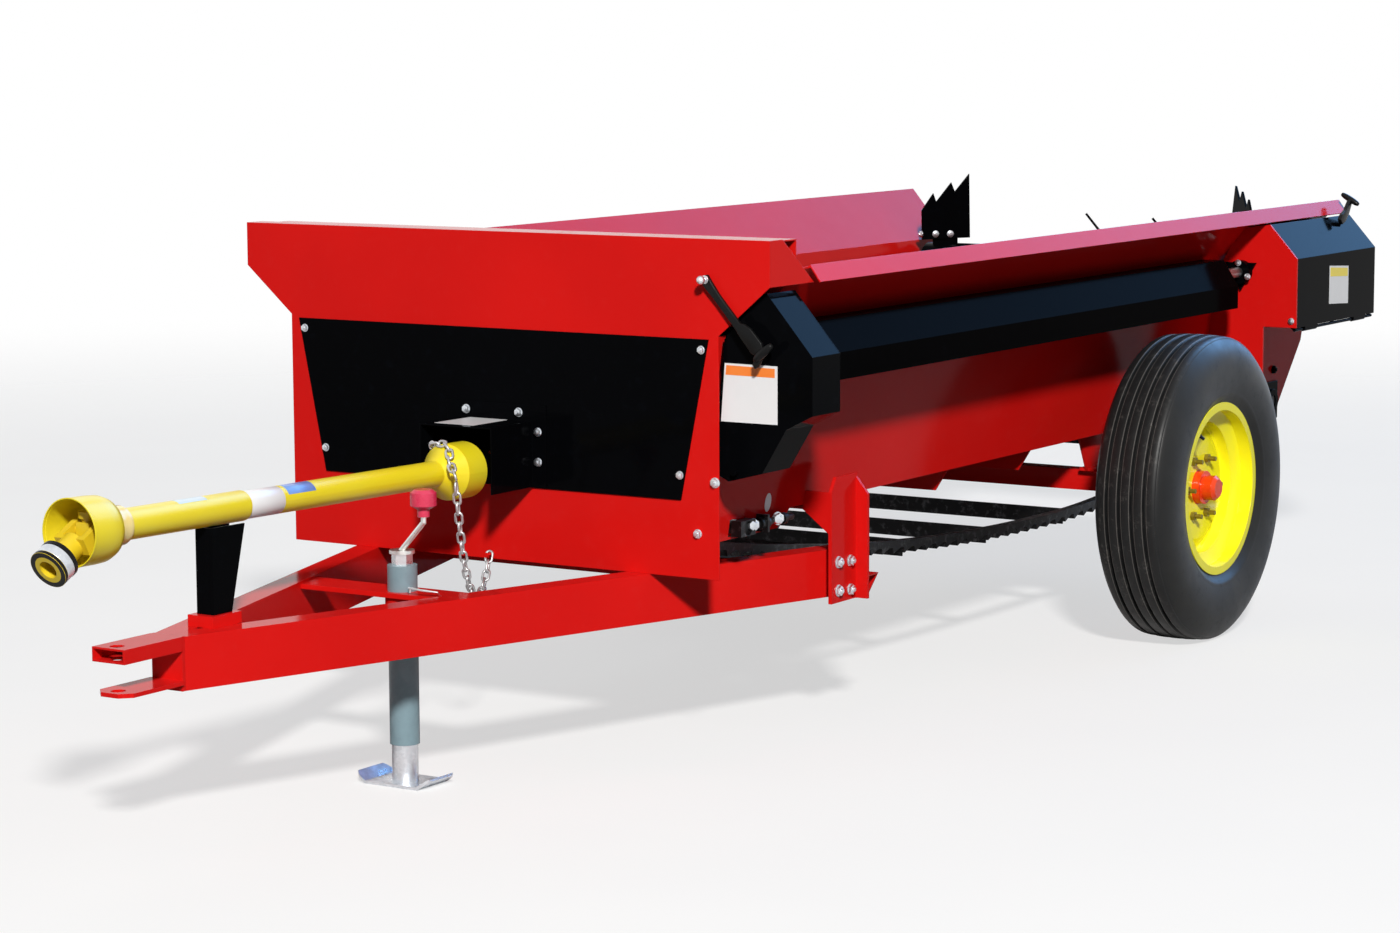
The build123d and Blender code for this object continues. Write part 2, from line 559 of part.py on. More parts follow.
# ---- jack ----------------------------------------------------------------
def jack_tube():
    z0, z1 = JACK_TUBE_Z
    width, height = JACK_NUT
    nut = Pos(JACK_X, JACK_Y, z1) * extrude(RegularPolygon(width / 2, 6, major_radius=False), amount=height)
    body = rod("z", JACK_TUBE_DIA / 2, z0, z1, JACK_X, JACK_Y)
    body -= rod("z", JACK_LEG_DIA / 2 + RUN, z0 - 1, z1 - 6, JACK_X, JACK_Y)
    return body + nut - rod("z", JACK_SCREW_DIA / 2 + RUN, z1 - 10, z1 + height + 1, JACK_X, JACK_Y)


def jack_crank():
    """Screw's top with a round flange, a bent bar and a knob that stands at the bar's end."""
    nut_top = JACK_TUBE_Z[1] + JACK_NUT[1]
    flange_dia, thick = CRANK_FLANGE
    dia, reach, rise = CRANK_BAR
    knob_dia, neck_dia, neck, height = CRANK_KNOB
    low = nut_top + GAP + thick
    end_y, bend_z, knob_z = JACK_Y + reach, low + rise, low + rise + dia
    screw = rod("z", JACK_SCREW_DIA / 2, JACK_TUBE_Z[1] - 4, low, JACK_X, JACK_Y)
    flange = rod("z", flange_dia / 2, nut_top + GAP, low, JACK_X, JACK_Y)
    slope = Vector(0, reach, rise)
    bar = Plane((JACK_X, JACK_Y, low), z_dir=slope) * Cylinder(dia / 2, slope.length * 2)
    bar &= box(JACK_X - dia, JACK_X + dia, JACK_Y - dia, end_y, low - thick, bend_z + dia)
    bend = Pos(JACK_X, end_y, bend_z) * Sphere(dia / 2)
    post = rod("z", dia / 2, bend_z, knob_z, JACK_X, end_y)
    line = [(0, 0), (neck_dia / 2, 0), (neck_dia / 2, neck), (knob_dia / 2, neck + 8),
            (knob_dia / 2, height - 6), (knob_dia / 2 - 8, height), (0, height)]
    knob = Pos(JACK_X, end_y, knob_z) * revolve(Plane.XZ * make_face(Polyline(*line, close=True)), Axis.Z)
    return screw + flange + bar + bend + post + knob


def jack_leg():
    r = JACK_LEG_DIA / 2
    length, width, thick = JACK_FOOT
    leg = rod("z", r, thick, JACK_LEG_TOP, JACK_X, JACK_Y)
    leg -= rod("z", r - JACK_LEG_WALL, thick, JACK_LEG_TOP + 1, JACK_X, JACK_Y)
    half = width / 2
    outline = [(-half, 18), (-half + 26, 0), (half - 26, 0), (half, 18), (half - 3, 22), (half - 28, thick),
               (28 - half, thick), (3 - half, 22)]
    foot = plate_x([(JACK_Y + y, z) for y, z in outline], JACK_X - length / 2, JACK_X + length / 2)
    rounded = extrude(RectangleRounded(length, width, JACK_FOOT_CORNER), amount=JACK_LEG_TOP)
    return leg + (foot & Pos(JACK_X, JACK_Y, 0) * rounded)


# ---- apron ---------------------------------------------------------------
def apron_path():
    """Closed line of the chain as (x, z, outward x, outward z), one entry for each link."""
    top = FLOOR_Z + CHAIN_HALF
    low = APRON_Z - SPROCKET_R
    dense = [(APRON_FRONT_X + (APRON_REAR_X - APRON_FRONT_X) * i / 200, top) for i in range(200)]
    dense += [(APRON_REAR_X - SPROCKET_R * sin(pi * i / 24), APRON_Z + SPROCKET_R * cos(pi * i / 24))
              for i in range(24)]
    for x0, x1 in ((APRON_REAR_X, SAG_X), (SAG_X, APRON_FRONT_X)):
        end = x0 if x0 != SAG_X else x1
        for i in range(100):
            x = x0 + (x1 - x0) * i / 100
            dense.append((x, SAG_Z + (low - SAG_Z) * ((x - SAG_X) / (end - SAG_X)) ** 2))
    dense += [(APRON_FRONT_X + SPROCKET_R * sin(pi * i / 24), APRON_Z - SPROCKET_R * cos(pi * i / 24))
              for i in range(24)]
    lengths = [hypot(b[0] - a[0], b[1] - a[1]) for a, b in zip(dense, dense[1:] + dense[:1])]
    count = round(round(sum(lengths) / CHAIN_PITCH / SLAT_EVERY) * SLAT_EVERY)
    step = sum(lengths) / count
    path, walked, want = [], 0.0, 0.0
    for (x0, z0), (x1, z1), length in zip(dense, dense[1:] + dense[:1], lengths):
        while want <= walked + length and len(path) < count:
            share = (want - walked) / length
            ux, uz = (x1 - x0) / length, (z1 - z0) / length
            path.append((x0 + (x1 - x0) * share, z0 + (z1 - z0) * share, uz, -ux))
            want += step
        walked += length
    return path


def apron_chain(path):
    outer, inner = [], []
    count = len(path)
    for i, (x, z, nx, nz) in enumerate(path):
        ax, az, mx, mz = path[(i + 1) % count]
        outer.append((x + nx * CHAIN_HALF, z + nz * CHAIN_HALF))
        share = 0.62
        hook = CHAIN_HALF + CHAIN_HOOK
        hx, hz = nx + (mx - nx) * share, nz + (mz - nz) * share
        outer.append((x + (ax - x) * share + hx * hook, z + (az - z) * share + hz * hook))
        share = 0.72
        outer.append((x + (ax - x) * share + hx * CHAIN_HALF, z + (az - z) * share + hz * CHAIN_HALF))
        inner.append((x - nx * CHAIN_HALF, z - nz * CHAIN_HALF))
    half = CHAIN_WIDTH / 2
    band = plate_y(outer, CHAIN_Y - half, CHAIN_Y + half)
    return band - plate_y(inner, CHAIN_Y - half - 1, CHAIN_Y + half + 1)


def apron_slats(path):
    half = CHAIN_Y - CHAIN_WIDTH / 2
    section = [(0, -6), (SLAT_SHEET, -6), (SLAT_SHEET, SLAT_HEIGHT), (0, SLAT_HEIGHT)]
    slats = []
    for i in range(round(len(path) / SLAT_EVERY)):
        x, z, nx, nz = path[round((i + 0.5) * SLAT_EVERY)]
        points = [(x + nx * out - nz * along, z + nz * out + nx * along) for along, out in section]
        slats.append(plate_y(points, -half, half))
    return slats


def apron_shaft(x):
    shaft = rod("y", APRON_SHAFT_DIA / 2, -500, 500, x, APRON_Z)
    body = sqrt(SPROCKET_R ** 2 - (CHAIN_PITCH / 2) ** 2) - CHAIN_HALF - 2
    for side in (1, -1):
        y = side * CHAIN_Y
        shaft += rod("y", body, y - 24, y + 24, x, APRON_Z)
    return shaft


def bearing_plate(x, z, bore):
    """Flange bearing on the outside of a side wall."""
    plate = box(x - 55, x + 55, wall_y(z) - 20, wall_y(z) + 12, z - 50, z + 50)
    boss = rod("y", 32, wall_y(z) - 20, wall_y(z) + 24, x, z)
    return outboard(plate + boss) - rod("y", bore, wall_y(z) - 40, wall_y(z) + 40, x, z)


def take_up():
    y = wall_y(APRON_Z) + 16
    block = box(APRON_FRONT_X - 28, APRON_FRONT_X + 28, y - 12, y + 12, APRON_Z - 16, APRON_Z + 16)
    block -= rod("y", APRON_SHAFT_DIA / 2 + RUN, y - 40, y + 40, APRON_FRONT_X, APRON_Z)
    screw = rod("x", 7, 1530, APRON_FRONT_X - 28, y, APRON_Z)
    lug = box(1640, 1648, y - 18, y + 14, APRON_Z - 18, APRON_Z + 18)
    for x in (1628, 1648, 1560):
        lug += rod("x", 12, x, x + 12, y, APRON_Z)
    return outboard(block + screw + lug)


# ---- beater --------------------------------------------------------------
def beater_drum():
    drum = rod("y", BEATER_DRUM_DIA / 2, -BEATER_DRUM_HALF, BEATER_DRUM_HALF, BEATER_X, BEATER_Z)
    drum += rod("y", BEATER_SHAFT_DIA / 2, -560, REAR_DRIVE_Y + DRIVE_WIDTH + 8, BEATER_X, BEATER_Z)
    drum += rod("y", BEATER_SPROCKET_R, REAR_DRIVE_Y, REAR_DRIVE_Y + DRIVE_WIDTH, BEATER_X, BEATER_Z)
    for y, turn in PADDLES:
        tab = Pos(0, 0, BEATER_DRUM_DIA / 2 + 30) * Box(8, 70, 76)
        drum += at_paddle(y, turn) * tab
    return drum


def at_paddle(y, turn):
    pitch = -PADDLE_PITCH if y > 0 else PADDLE_PITCH
    return Pos(BEATER_X, y, BEATER_Z) * Rot(0, turn, 0) * Rot(0, 0, pitch)


def paddle(inboard):
    """Saw-toothed blade; inboard is the sign of the side that its tallest tooth is on."""
    half, root, tip = PADDLE_WIDTH / 2, BEATER_DRUM_DIA / 2 + 12, BEATER_TIP_R
    teeth = [(-half, root), (half, root), (half, tip), (half - 42, tip - 48), (half - 52, tip - 22),
             (half - 96, tip - 74), (half - 104, tip - 50), (-half, tip - 96)]
    outline = [(inboard * y, z) for y, z in teeth]
    return Pos(4 + PADDLE_SHEET, 0, 0) * plate_x(outline, -PADDLE_SHEET, 0)


# ---- side drive ----------------------------------------------------------
def shaft_shield():
    return outboard(plate_x(bent(SHIELD_LINE, GUARD_SHEET), *SHIELD_X))


def guard_back():
    low, high = FRONT_GUARD_LINE[1][1] - 5, HEADER_SIDE_Z - 23
    outline = [(wall_y(low) - 10, low)] + FRONT_GUARD_LINE[1:] + [(wall_y(high) - 10, high)]
    y, z = SIDE_SHAFT
    plate = outboard(plate_x(outline, BOX_FRONT_X, BOX_FRONT_X + SHEET))
    pin = rod("x", 6, BOX_FRONT_X + SHEET / 2, FACE_X - SHEET, *GUARD_PIVOT)
    return plate + pin - rod("x", SIDE_SHAFT_DIA / 2 + 4, BOX_FRONT_X - 10, BOX_FRONT_X + 10, y, z)


def front_guard():
    x0, x1 = FRONT_GUARD_X
    line = FRONT_GUARD_LINE[::-1]
    skin = plate_x(bent(line, GUARD_SHEET), x0 + GAP, x1)
    low, high = FRONT_GUARD_LINE[1][1] - 5, HEADER_SIDE_Z - 16
    inner = [(wall_y(low + 20) + 16, low), (wall_y(WALL_BEND[1] - 13) + 6, WALL_BEND[1] - 7),
             (wall_y(high - 7) + 9, high)]
    face = plate_x(line + inner, x1 - GUARD_SHEET, x1)
    return skin + face - rod("x", 6 + RUN, x1 - 10, x1 + 10, *GUARD_PIVOT)


def bulkhead():
    high = REAR_GUARD_LINE[2]
    low = BULKHEAD_LOW[1] - 55
    outline = [(WALL_FOOT[0] - 12, low), (BULKHEAD_LOW[0] - 97, low), BULKHEAD_LOW,
               (BULKHEAD_LOW[0], REAR_GUARD_LINE[0][1]), REAR_GUARD_LINE[0], REAR_GUARD_LINE[1], high,
               (wall_y(high[1]) - 20, high[1] - 10), (WALL_BEND[0] - 35, WALL_BEND[1] - 73)]
    x = REAR_GUARD_X[1]
    plate = outboard(plate_x(outline, x - BULKHEAD_SHEET, x))
    return plate - rod("x", SIDE_SHAFT_DIA / 2 + 4, x - 10, x + 10, *SIDE_SHAFT)


def rear_guard():
    x0, x1 = REAR_GUARD_X
    line = REAR_GUARD_LINE[::-1]
    skin = plate_x(bent(line, GUARD_SHEET), x0, x1 - BULKHEAD_SHEET - GAP)
    near = WALL_BEND[0] + 25
    back = plate_x(line + [(near, REAR_GUARD_LINE[0][1]), (near, WALL_BEND[1] + 7)], x0, x0 + GUARD_SHEET)
    r = HINGE_PIN_DIA / 2
    for x in (x0 + 60, x1 - 140):
        knuckle = tube("x", r + GUARD_SHEET, r + RUN, x, x + HINGE_KNUCKLE, *REAR_HINGE)
        strap = box(x, x + HINGE_KNUCKLE, REAR_GUARD_LINE[0][0] - GUARD_SHEET, REAR_GUARD_LINE[0][0],
                    REAR_HINGE[1], REAR_GUARD_LINE[0][1] + 5)
        skin += knuckle + strap
    return skin + back


def side_shaft():
    y, z = SIDE_SHAFT
    shaft = rod("x", SIDE_SHAFT_DIA / 2, *SIDE_SHAFT_X, y, z)
    return shaft + rod("x", SIDE_SPROCKET_R, FRONT_DRIVE_X, FRONT_DRIVE_X + DRIVE_WIDTH, y, z)


def side_bearings():
    y, z = SIDE_SHAFT
    pieces = []
    for x, sign in ((REAR_GUARD_X[1], 1), (BOX_FRONT_X + SHEET, 1)):
        flange = Pos(x + 4, y, z) * Rot(0, 90, 0) * extrude(RegularPolygon(48, 3), amount=4, both=True)
        body = flange + rod("x", 30, x, x + 22, y, z)
        pieces.append(body - rod("x", SIDE_SHAFT_DIA / 2 + RUN, x - 5, x + 30, y, z))
    return pieces


# ---- drive inside the guards ---------------------------------------------
def chain_loop(a, ra, b, rb, thick):
    """Belt-like loop of roller chain round two sprockets, as an outline with its hole."""
    turn = atan2(b[1] - a[1], b[0] - a[0])
    length = hypot(b[0] - a[0], b[1] - a[1])
    lean = atan2(sqrt(length ** 2 - (rb - ra) ** 2), ra - rb)

    def outline(extra):
        points = []
        for centre, r, start in ((b, rb, -lean), (a, ra, lean)):
            sweep = 2 * lean if centre is b else 2 * (pi - lean)
            for i in range(9):
                angle = turn + start + sweep * i / 8
                points.append((centre[0] + (r + extra) * cos(angle), centre[1] + (r + extra) * sin(angle)))
        return points
    return outline(2 + thick), outline(2)


def drive_chains():
    outer, inner = chain_loop((GEARBOX_X, SIDE_SHAFT[1]), GEAR_SPROCKET_R, (BEATER_X, BEATER_Z),
                              BEATER_SPROCKET_R, DRIVE_CHAIN)
    y0, y1 = REAR_DRIVE_Y, REAR_DRIVE_Y + DRIVE_WIDTH
    rear = plate_y(outer, y0, y1) - plate_y(inner, y0 - 1, y1 + 1)
    outer, inner = chain_loop(SIDE_SHAFT, SIDE_SPROCKET_R, (0, SHAFT_Z), INPUT_SPROCKET_R, DRIVE_CHAIN)
    x0, x1 = FRONT_DRIVE_X, FRONT_DRIVE_X + DRIVE_WIDTH
    front = plate_x(outer, x0, x1) - plate_x(inner, x0 - 1, x1 + 1)
    return rear, front


def rear_gearbox():
    y, z = SIDE_SHAFT
    x1 = REAR_GUARD_X[1] - BULKHEAD_SHEET
    case = box(x1 - 110, x1, y - 46, y + 50, z - 50, z + 50)
    case -= rod("x", SIDE_SHAFT_DIA / 2 + RUN, x1 - 120, x1 + 10, y, z)
    output = rod("y", 15, y + 50, REAR_DRIVE_Y + DRIVE_WIDTH + 6, GEARBOX_X, z)
    sprocket = rod("y", GEAR_SPROCKET_R, REAR_DRIVE_Y, REAR_DRIVE_Y + DRIVE_WIDTH, GEARBOX_X, z)
    return outboard(case) + output + sprocket


def guard_pan():
    x0, x1 = REAR_GUARD_X[0] + 6, REAR_GUARD_X[1] - BULKHEAD_SHEET
    y, z = REAR_HINGE
    top = REAR_GUARD_LINE[0][1] + 4
    pan = outboard(box(x0, x1, WALL_FOOT[0], y - 14, top, top + GUARD_SHEET))
    pan += rod("x", HINGE_PIN_DIA / 2, x0, x1, y, z)
    for x in (x0, x1 - 12, (x0 + x1) / 2 - 6):
        knuckle = [(y - 16, top), (y - 2, z - 2), (y + 2, z + 2), (y - 14, top + GUARD_SHEET)]
        pan += plate_x(knuckle, x, x + 12)
    return pan


# ---- latches -------------------------------------------------------------
def front_latch():
    """Rubber strap with a T handle, drawn tight across the header."""
    y0, z0 = HEADER_HALF - 153, HEADER_TOP_Z - 89
    y1, z1 = HEADER_HALF - 5, SIDE_SHAFT[1] - 12
    length = hypot(y1 - y0, z1 - z0)
    ay, az = (y1 - y0) / length, (z1 - z0) / length
    x0 = FACE_X + 6
    wide, narrow = 13.0, 8.0
    outline = [(y0 + az * narrow, z0 - ay * narrow), (y1 + az * wide, z1 - ay * wide),
               (y1 + ay * 14, z1 + az * 14), (y1 - az * wide, z1 + ay * wide),
               (y0 - az * narrow, z0 + ay * narrow)]
    strap = plate_x(outline, x0, x0 + 10)
    strap += rod("x", 9, x0, x0 + 46, y0, z0)
    return strap + rod("x", 8, FRONT_GUARD_X[1], x0 + 10, y1, z1)


def rear_latch():
    """Rubber T handle that stands on the guard's slope."""
    x = REAR_GUARD_X[0] + 40
    corner, top = REAR_GUARD_LINE[1:]
    share = 0.676
    y0 = corner[0] + share * (top[0] - corner[0])
    z0 = corner[1] + share * (top[1] - corner[1]) + 4.4
    post = plate_x([(y0 - 8, z0 + 5), (y0 + 10, z0 - 10), (y0 + 6, z0 + 66), (y0 - 6, z0 + 66)], x, x + 14)
    post -= plate_x([corner, top, (top[0] - 72, top[1]), (top[0] - 72, corner[1])], x - 5, x + 20)
    return post + rod("x", 9, x - 20, x + 34, y0, z0 + 66)


# ---- driveline -----------------------------------------------------------
def on_driveline(shape):
    """Pieces are drawn along +X from the rear joint."""
    return Pos(REAR_JOINT_X, 0, SHAFT_Z) * Rot(0, -DRIVELINE_RISE, 0) * shape


def yoke(hub_r, start, end, across, bore):
    """Fork from a hub between start and end to ears round x = 0; across is the ears' axis."""
    ear = rod("y", YOKE_EAR_R, YOKE_GAP, YOKE_GAP + YOKE_EAR, 0, 0)
    near = start if abs(start) < abs(end) else end
    ear += box(min(0, near), max(0, near), YOKE_GAP, YOKE_GAP + YOKE_EAR, -YOKE_EAR_R, YOKE_EAR_R)
    ears = ear + mirror(ear, about=Plane.XZ)
    ears -= rod("y", bore, -60, 60, 0, 0)
    step = 10 if near > 0 else -10
    bridge = box(min(near, near + step), max(near, near + step), -YOKE_GAP - YOKE_EAR, YOKE_GAP + YOKE_EAR,
                 -YOKE_EAR_R, YOKE_EAR_R)
    fork = ears + bridge
    if across == "z":
        fork = Rot(90, 0, 0) * fork
    return fork + rod("x", hub_r, start, end, 0, 0)


def cross():
    reach = YOKE_GAP + YOKE_EAR
    arms = rod("y", TRUNNION_DIA / 2, -reach, reach, 0, 0) + rod("z", TRUNNION_DIA / 2, -reach, reach, 0, 0)
    return arms + Box(30, 30, 30)


def pto_gearbox():
    x0 = BOX_FRONT_X + SHEET
    case = box(x0, FRONT_DRIVE_X - 6, -75, 75, SHAFT_Z - 70, SHAFT_Z + 70)
    sprocket = rod("x", INPUT_SPROCKET_R, FRONT_DRIVE_X, FRONT_DRIVE_X + DRIVE_WIDTH, 0, SHAFT_Z)
    shaft = rod("x", 17.5, x0, REAR_JOINT_X - 40, 0, SHAFT_Z)
    fork = yoke(YOKE_HUB_DIA / 2, -YOKE_LENGTH - 15, -YOKE_THROAT, "y", TRUNNION_DIA / 2 + RUN)
    return case + sprocket + shaft + Pos(REAR_JOINT_X, 0, SHAFT_Z) * fork


def rear_shaft():
    end = SHIELD_START + SHIELD_OVERLAP
    body = yoke(YOKE_HUB_DIA / 2, YOKE_THROAT, YOKE_LENGTH, "z", TRUNNION_DIA / 2) + cross()
    steel = tube("x", STEEL_DIA / 2, STEEL_BAR_DIA / 2 + 2 * RUN, YOKE_LENGTH, end, 0, 0)
    return on_driveline(body + steel)


def shield(bell, place, way, end, radius):
    """Bell and tube in one, a thin turned wall from the bell's mouth to the tube's far end.

    The bell's joint is at place and its tube runs off in the direction way.
    """
    diameter, mouth, back, neck = bell
    r, wall = diameter / 2, BELL_WALL
    mouth, back, neck = (place + way * reach for reach in (mouth, back, neck))
    line = [(mouth, r), (back, r), (neck, radius), (end, radius), (end, radius - SHIELD_WALL),
            (neck - way * 2, radius - SHIELD_WALL), (back - way * 2, r - wall), (mouth, r - wall)]
    face = Plane.XY * make_face(Polyline(*line, close=True))
    return revolve(face, Axis.X)


def rear_shield():
    inner_r = SHIELD_DIA / 2 - SHIELD_WALL - GAP
    return on_driveline(shield(REAR_BELL, 0, 1, SHIELD_START + SHIELD_OVERLAP, inner_r))


def front_shield():
    return on_driveline(shield(FRONT_BELL, DRIVELINE_LENGTH, -1, SHIELD_START, SHIELD_DIA / 2))


def clamp_ring():
    diameter, length = FRONT_RING
    neck = DRIVELINE_LENGTH - FRONT_BELL[3]
    return on_driveline(tube("x", diameter / 2, SHIELD_DIA / 2 + GAP, neck - length, neck, 0, 0))


def front_shaft():
    end = DRIVELINE_LENGTH
    fork = yoke(YOKE_HUB_DIA / 2, -YOKE_LENGTH, -YOKE_THROAT, "z", TRUNNION_DIA / 2)
    body = Pos(end, 0, 0) * (fork + cross())
    start = SHIELD_START + SHIELD_OVERLAP - STEEL_OVERLAP
    return on_driveline(body + rod("x", STEEL_BAR_DIA / 2, start, end - YOKE_LENGTH, 0, 0))


def tractor_yoke():
    fork = yoke(FREE_YOKE_HUB_DIA / 2, FREE_YOKE_THROAT, COLLAR_REACH, "y", TRUNNION_DIA / 2 + RUN)
    collar = rod("x", COLLAR_DIA / 2, COLLAR_REACH - COLLAR_WIDTH + 8, COLLAR_REACH, 0, 0)
    collar += rod("x", COLLAR_DIA / 2 - 4, COLLAR_REACH - COLLAR_WIDTH, COLLAR_REACH, 0, 0)
    body = fork + collar - rod("x", SPLINE_DIA / 2, FREE_YOKE_THROAT + 10, COLLAR_REACH + 1, 0, 0)
    return on_driveline(Pos(DRIVELINE_LENGTH, 0, 0) * Rot(0, DROOP, 0) * body)


def driveline_stand():
    """Channel on the drawbar's point, open to the rear; the driveline lies on its top."""
    half, low = STAND_WIDTH / 2, BEAM_TOP + POINT_PLATE[2]
    rise = radians(DRIVELINE_RISE)
    x0, x1 = STAND_X

    def top(x):
        return SHAFT_Z + (x - REAR_JOINT_X) * tan(rise) - SHIELD_DIA / 2 / cos(rise) - STAND_CLEARANCE

    side = plate_y([(x0, low), (x1, low), (x1, top(x1)), (STAND_TOP_X, top(STAND_TOP_X))], -half, half)
    inside = x1 - STAND_SHEET
    hollow = [(x0 - 60, low - 1), (inside, low - 1), (inside, SHAFT_Z), (STAND_TOP_X - 60, SHAFT_Z)]
    return side - plate_y(hollow, STAND_SHEET - half, half - STAND_SHEET)


# ---- restraint chain -----------------------------------------------------
def link():
    """Flat-sided link: a long ring of square wire."""
    def ring(length, width):
        flat, side, cut = length / 2, width / 2, width / 4
        return [(flat, -cut), (flat, cut), (flat - cut, side), (cut - flat, side), (-flat, cut),
                (-flat, -cut), (cut - flat, -side), (flat - cut, -side)]
    half = LINK_WIRE / 2
    outer = plate_z(ring(LINK_LENGTH, LINK_WIDTH), -half, half)
    return outer - plate_z(ring(LINK_LENGTH - 2 * LINK_WIRE, LINK_WIDTH - 2 * LINK_WIRE), -half - 1, half + 1)


def restraint_chain():
    (x1, y1, z1), (x0, y0, z0) = CHAIN_TOP, CHAIN_END
    span = hypot(x1 - x0, y1 - y0)
    turn = degrees(atan2(y1 - y0, x1 - x0))
    a = CHAIN_CURVE
    low, high = 0.0, span
    for _ in range(60):
        middle = (low + high) / 2
        rise = a * (cosh((span - middle) / a) - cosh(middle / a))
        low, high = (middle, high) if rise > z1 - z0 else (low, middle)
    bottom = z0 - a * (cosh(low / a) - 1)
    start, end = -a * sinh(low / a), a * sinh((span - low) / a)
    pitch = LINK_LENGTH - 2 * LINK_WIRE + 0.5
    links = []
    for i in range(int((end - start) / pitch)):
        arc = start + pitch * (i + 0.5)
        along = a * asinh(arc / a)
        slope = degrees(atan2(arc, a))
        share = (low + along) / span
        place = Pos(x0 + (x1 - x0) * share, y0 + (y1 - y0) * share, bottom + a * (cosh(along / a) - 1))
        links.append(place * Rot(0, 0, turn) * Rot(0, -slope, 0) * Rot(90 * (i % 2), 0, 0) * link())
    return links


def build():
    left = side_wall()
    walls = [left, mirrored(left)]
    save("side_wall_left", walls[0])
    save("side_wall_right", walls[1])
    save("front_wall", front_wall())
    save("inner_front_wall", inner_wall(walls))
    save("front_cover", front_cover())
    save("pto_hood", pto_hood())
    save("floor", floor_sheet(walls))
    save("cross_members", *cross_members(), tie_tube())
    save("axle", axle())
    save("axle_brackets", *pair(axle_bracket()))
    save("drawbar_beam_left", beam())
    save("drawbar_beam_right", mirrored(beam()))
    save("hitch_clevis", hitch(), point_plate())
    save("frame_posts", *pair(post()))
    save("jack_bracket", jack_bracket())
    save("jack_tube", jack_tube())
    save("jack_crank", jack_crank())
    save("jack_leg", jack_leg())
    for side, word in ((1, "left"), (-1, "right")):
        save(f"tyre_{word}", on_wheel(tyre(), side))
        save(f"rim_{word}", on_wheel(wheel_rim(), side))
        save(f"hub_{word}", on_wheel(hub(), side))
    path = apron_path()
    save("apron_chains", *pair(apron_chain(path)))
    save("apron_slats", *apron_slats(path))
    save("apron_front_shaft", apron_shaft(APRON_FRONT_X))
    save("apron_rear_shaft", apron_shaft(APRON_REAR_X))
    save("take_ups", *pair(take_up()))
    save("beater_drum", beater_drum())
    save("beater_paddles", *[at_paddle(y, turn) * paddle(-1 if y > 0 else 1) for y, turn in PADDLES])
    save("shaft_shield", shaft_shield())
    save("guard_back", guard_back())
    save("front_guard", front_guard())
    save("rear_bulkhead", bulkhead())
    save("rear_guard", rear_guard())
    save("side_shaft", side_shaft())
    apron = bearing_plate(APRON_REAR_X, APRON_Z, APRON_SHAFT_DIA / 2 + RUN)
    beater = bearing_plate(BEATER_X, BEATER_Z, BEATER_SHAFT_DIA / 2 + RUN)
    save("flange_bearings", *pair(apron), *pair(beater), *side_bearings())
    save("guard_pan", guard_pan())
    save("rear_gearbox", rear_gearbox())
    save("drive_chains", *drive_chains())
    save("front_latch", front_latch())
    save("rear_latch", rear_latch())
    save("pto_gearbox", pto_gearbox())
    save("driveline_rear_shaft", rear_shaft())
    save("driveline_rear_shield", rear_shield())
    save("driveline_front_shaft", front_shaft())
    save("driveline_front_shield", front_shield())
    save("driveline_clamp_ring", clamp_ring())
    save("tractor_yoke", tractor_yoke())
    save("driveline_stand", driveline_stand())
    save("restraint_chain", *restraint_chain())


build()
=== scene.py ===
import json
from math import cos, radians, sin

import bmesh
import bpy
import numpy as np
from mathutils import Matrix, Vector


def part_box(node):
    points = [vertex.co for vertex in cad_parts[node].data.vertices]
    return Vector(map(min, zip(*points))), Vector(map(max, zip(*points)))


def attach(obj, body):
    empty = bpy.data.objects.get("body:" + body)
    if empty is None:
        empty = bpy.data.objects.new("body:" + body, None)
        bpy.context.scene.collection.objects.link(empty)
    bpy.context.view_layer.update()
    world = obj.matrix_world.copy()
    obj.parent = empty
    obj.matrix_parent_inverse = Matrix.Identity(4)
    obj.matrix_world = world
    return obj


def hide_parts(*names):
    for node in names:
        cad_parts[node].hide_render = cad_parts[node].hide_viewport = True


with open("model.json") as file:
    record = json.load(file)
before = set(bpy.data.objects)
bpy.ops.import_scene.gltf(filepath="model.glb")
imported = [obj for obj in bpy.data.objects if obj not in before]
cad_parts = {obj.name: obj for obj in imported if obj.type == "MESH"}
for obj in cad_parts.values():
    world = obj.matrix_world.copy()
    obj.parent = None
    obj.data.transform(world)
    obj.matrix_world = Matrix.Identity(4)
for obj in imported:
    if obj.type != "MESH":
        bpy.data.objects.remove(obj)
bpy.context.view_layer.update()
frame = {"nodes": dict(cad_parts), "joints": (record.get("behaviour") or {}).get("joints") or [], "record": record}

# sizes and places are in millimetres from the axle, the centreline and the ground, unless a line says metres
AXLE = sum(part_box("tyre_left"), Vector()) / 2
FORWARD, LEFT, RIGHT, UP = (1, 0, 0), (0, 1, 0), (0, -1, 0), (0, 0, 1)
TREAD_RADIUS, GROOVE_PITCH, GROOVE_DEPTH = 367.5, 32, 9.0

joints = {joint["name"]: joint for joint in frame["joints"]}
mounts = {mount["name"]: mount for mount in frame["record"]["mounts"]}


def at(x, y, z):
    """A place on the machine in metres, from its millimetres."""
    return Vector((AXLE.x + x / 1000, y / 1000, z / 1000))


def millimetres(node):
    """Lowest and highest corner of a node in the measure that at() takes."""
    return [((corner.x - AXLE.x) * 1000, corner.y * 1000, corner.z * 1000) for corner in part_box(node)]


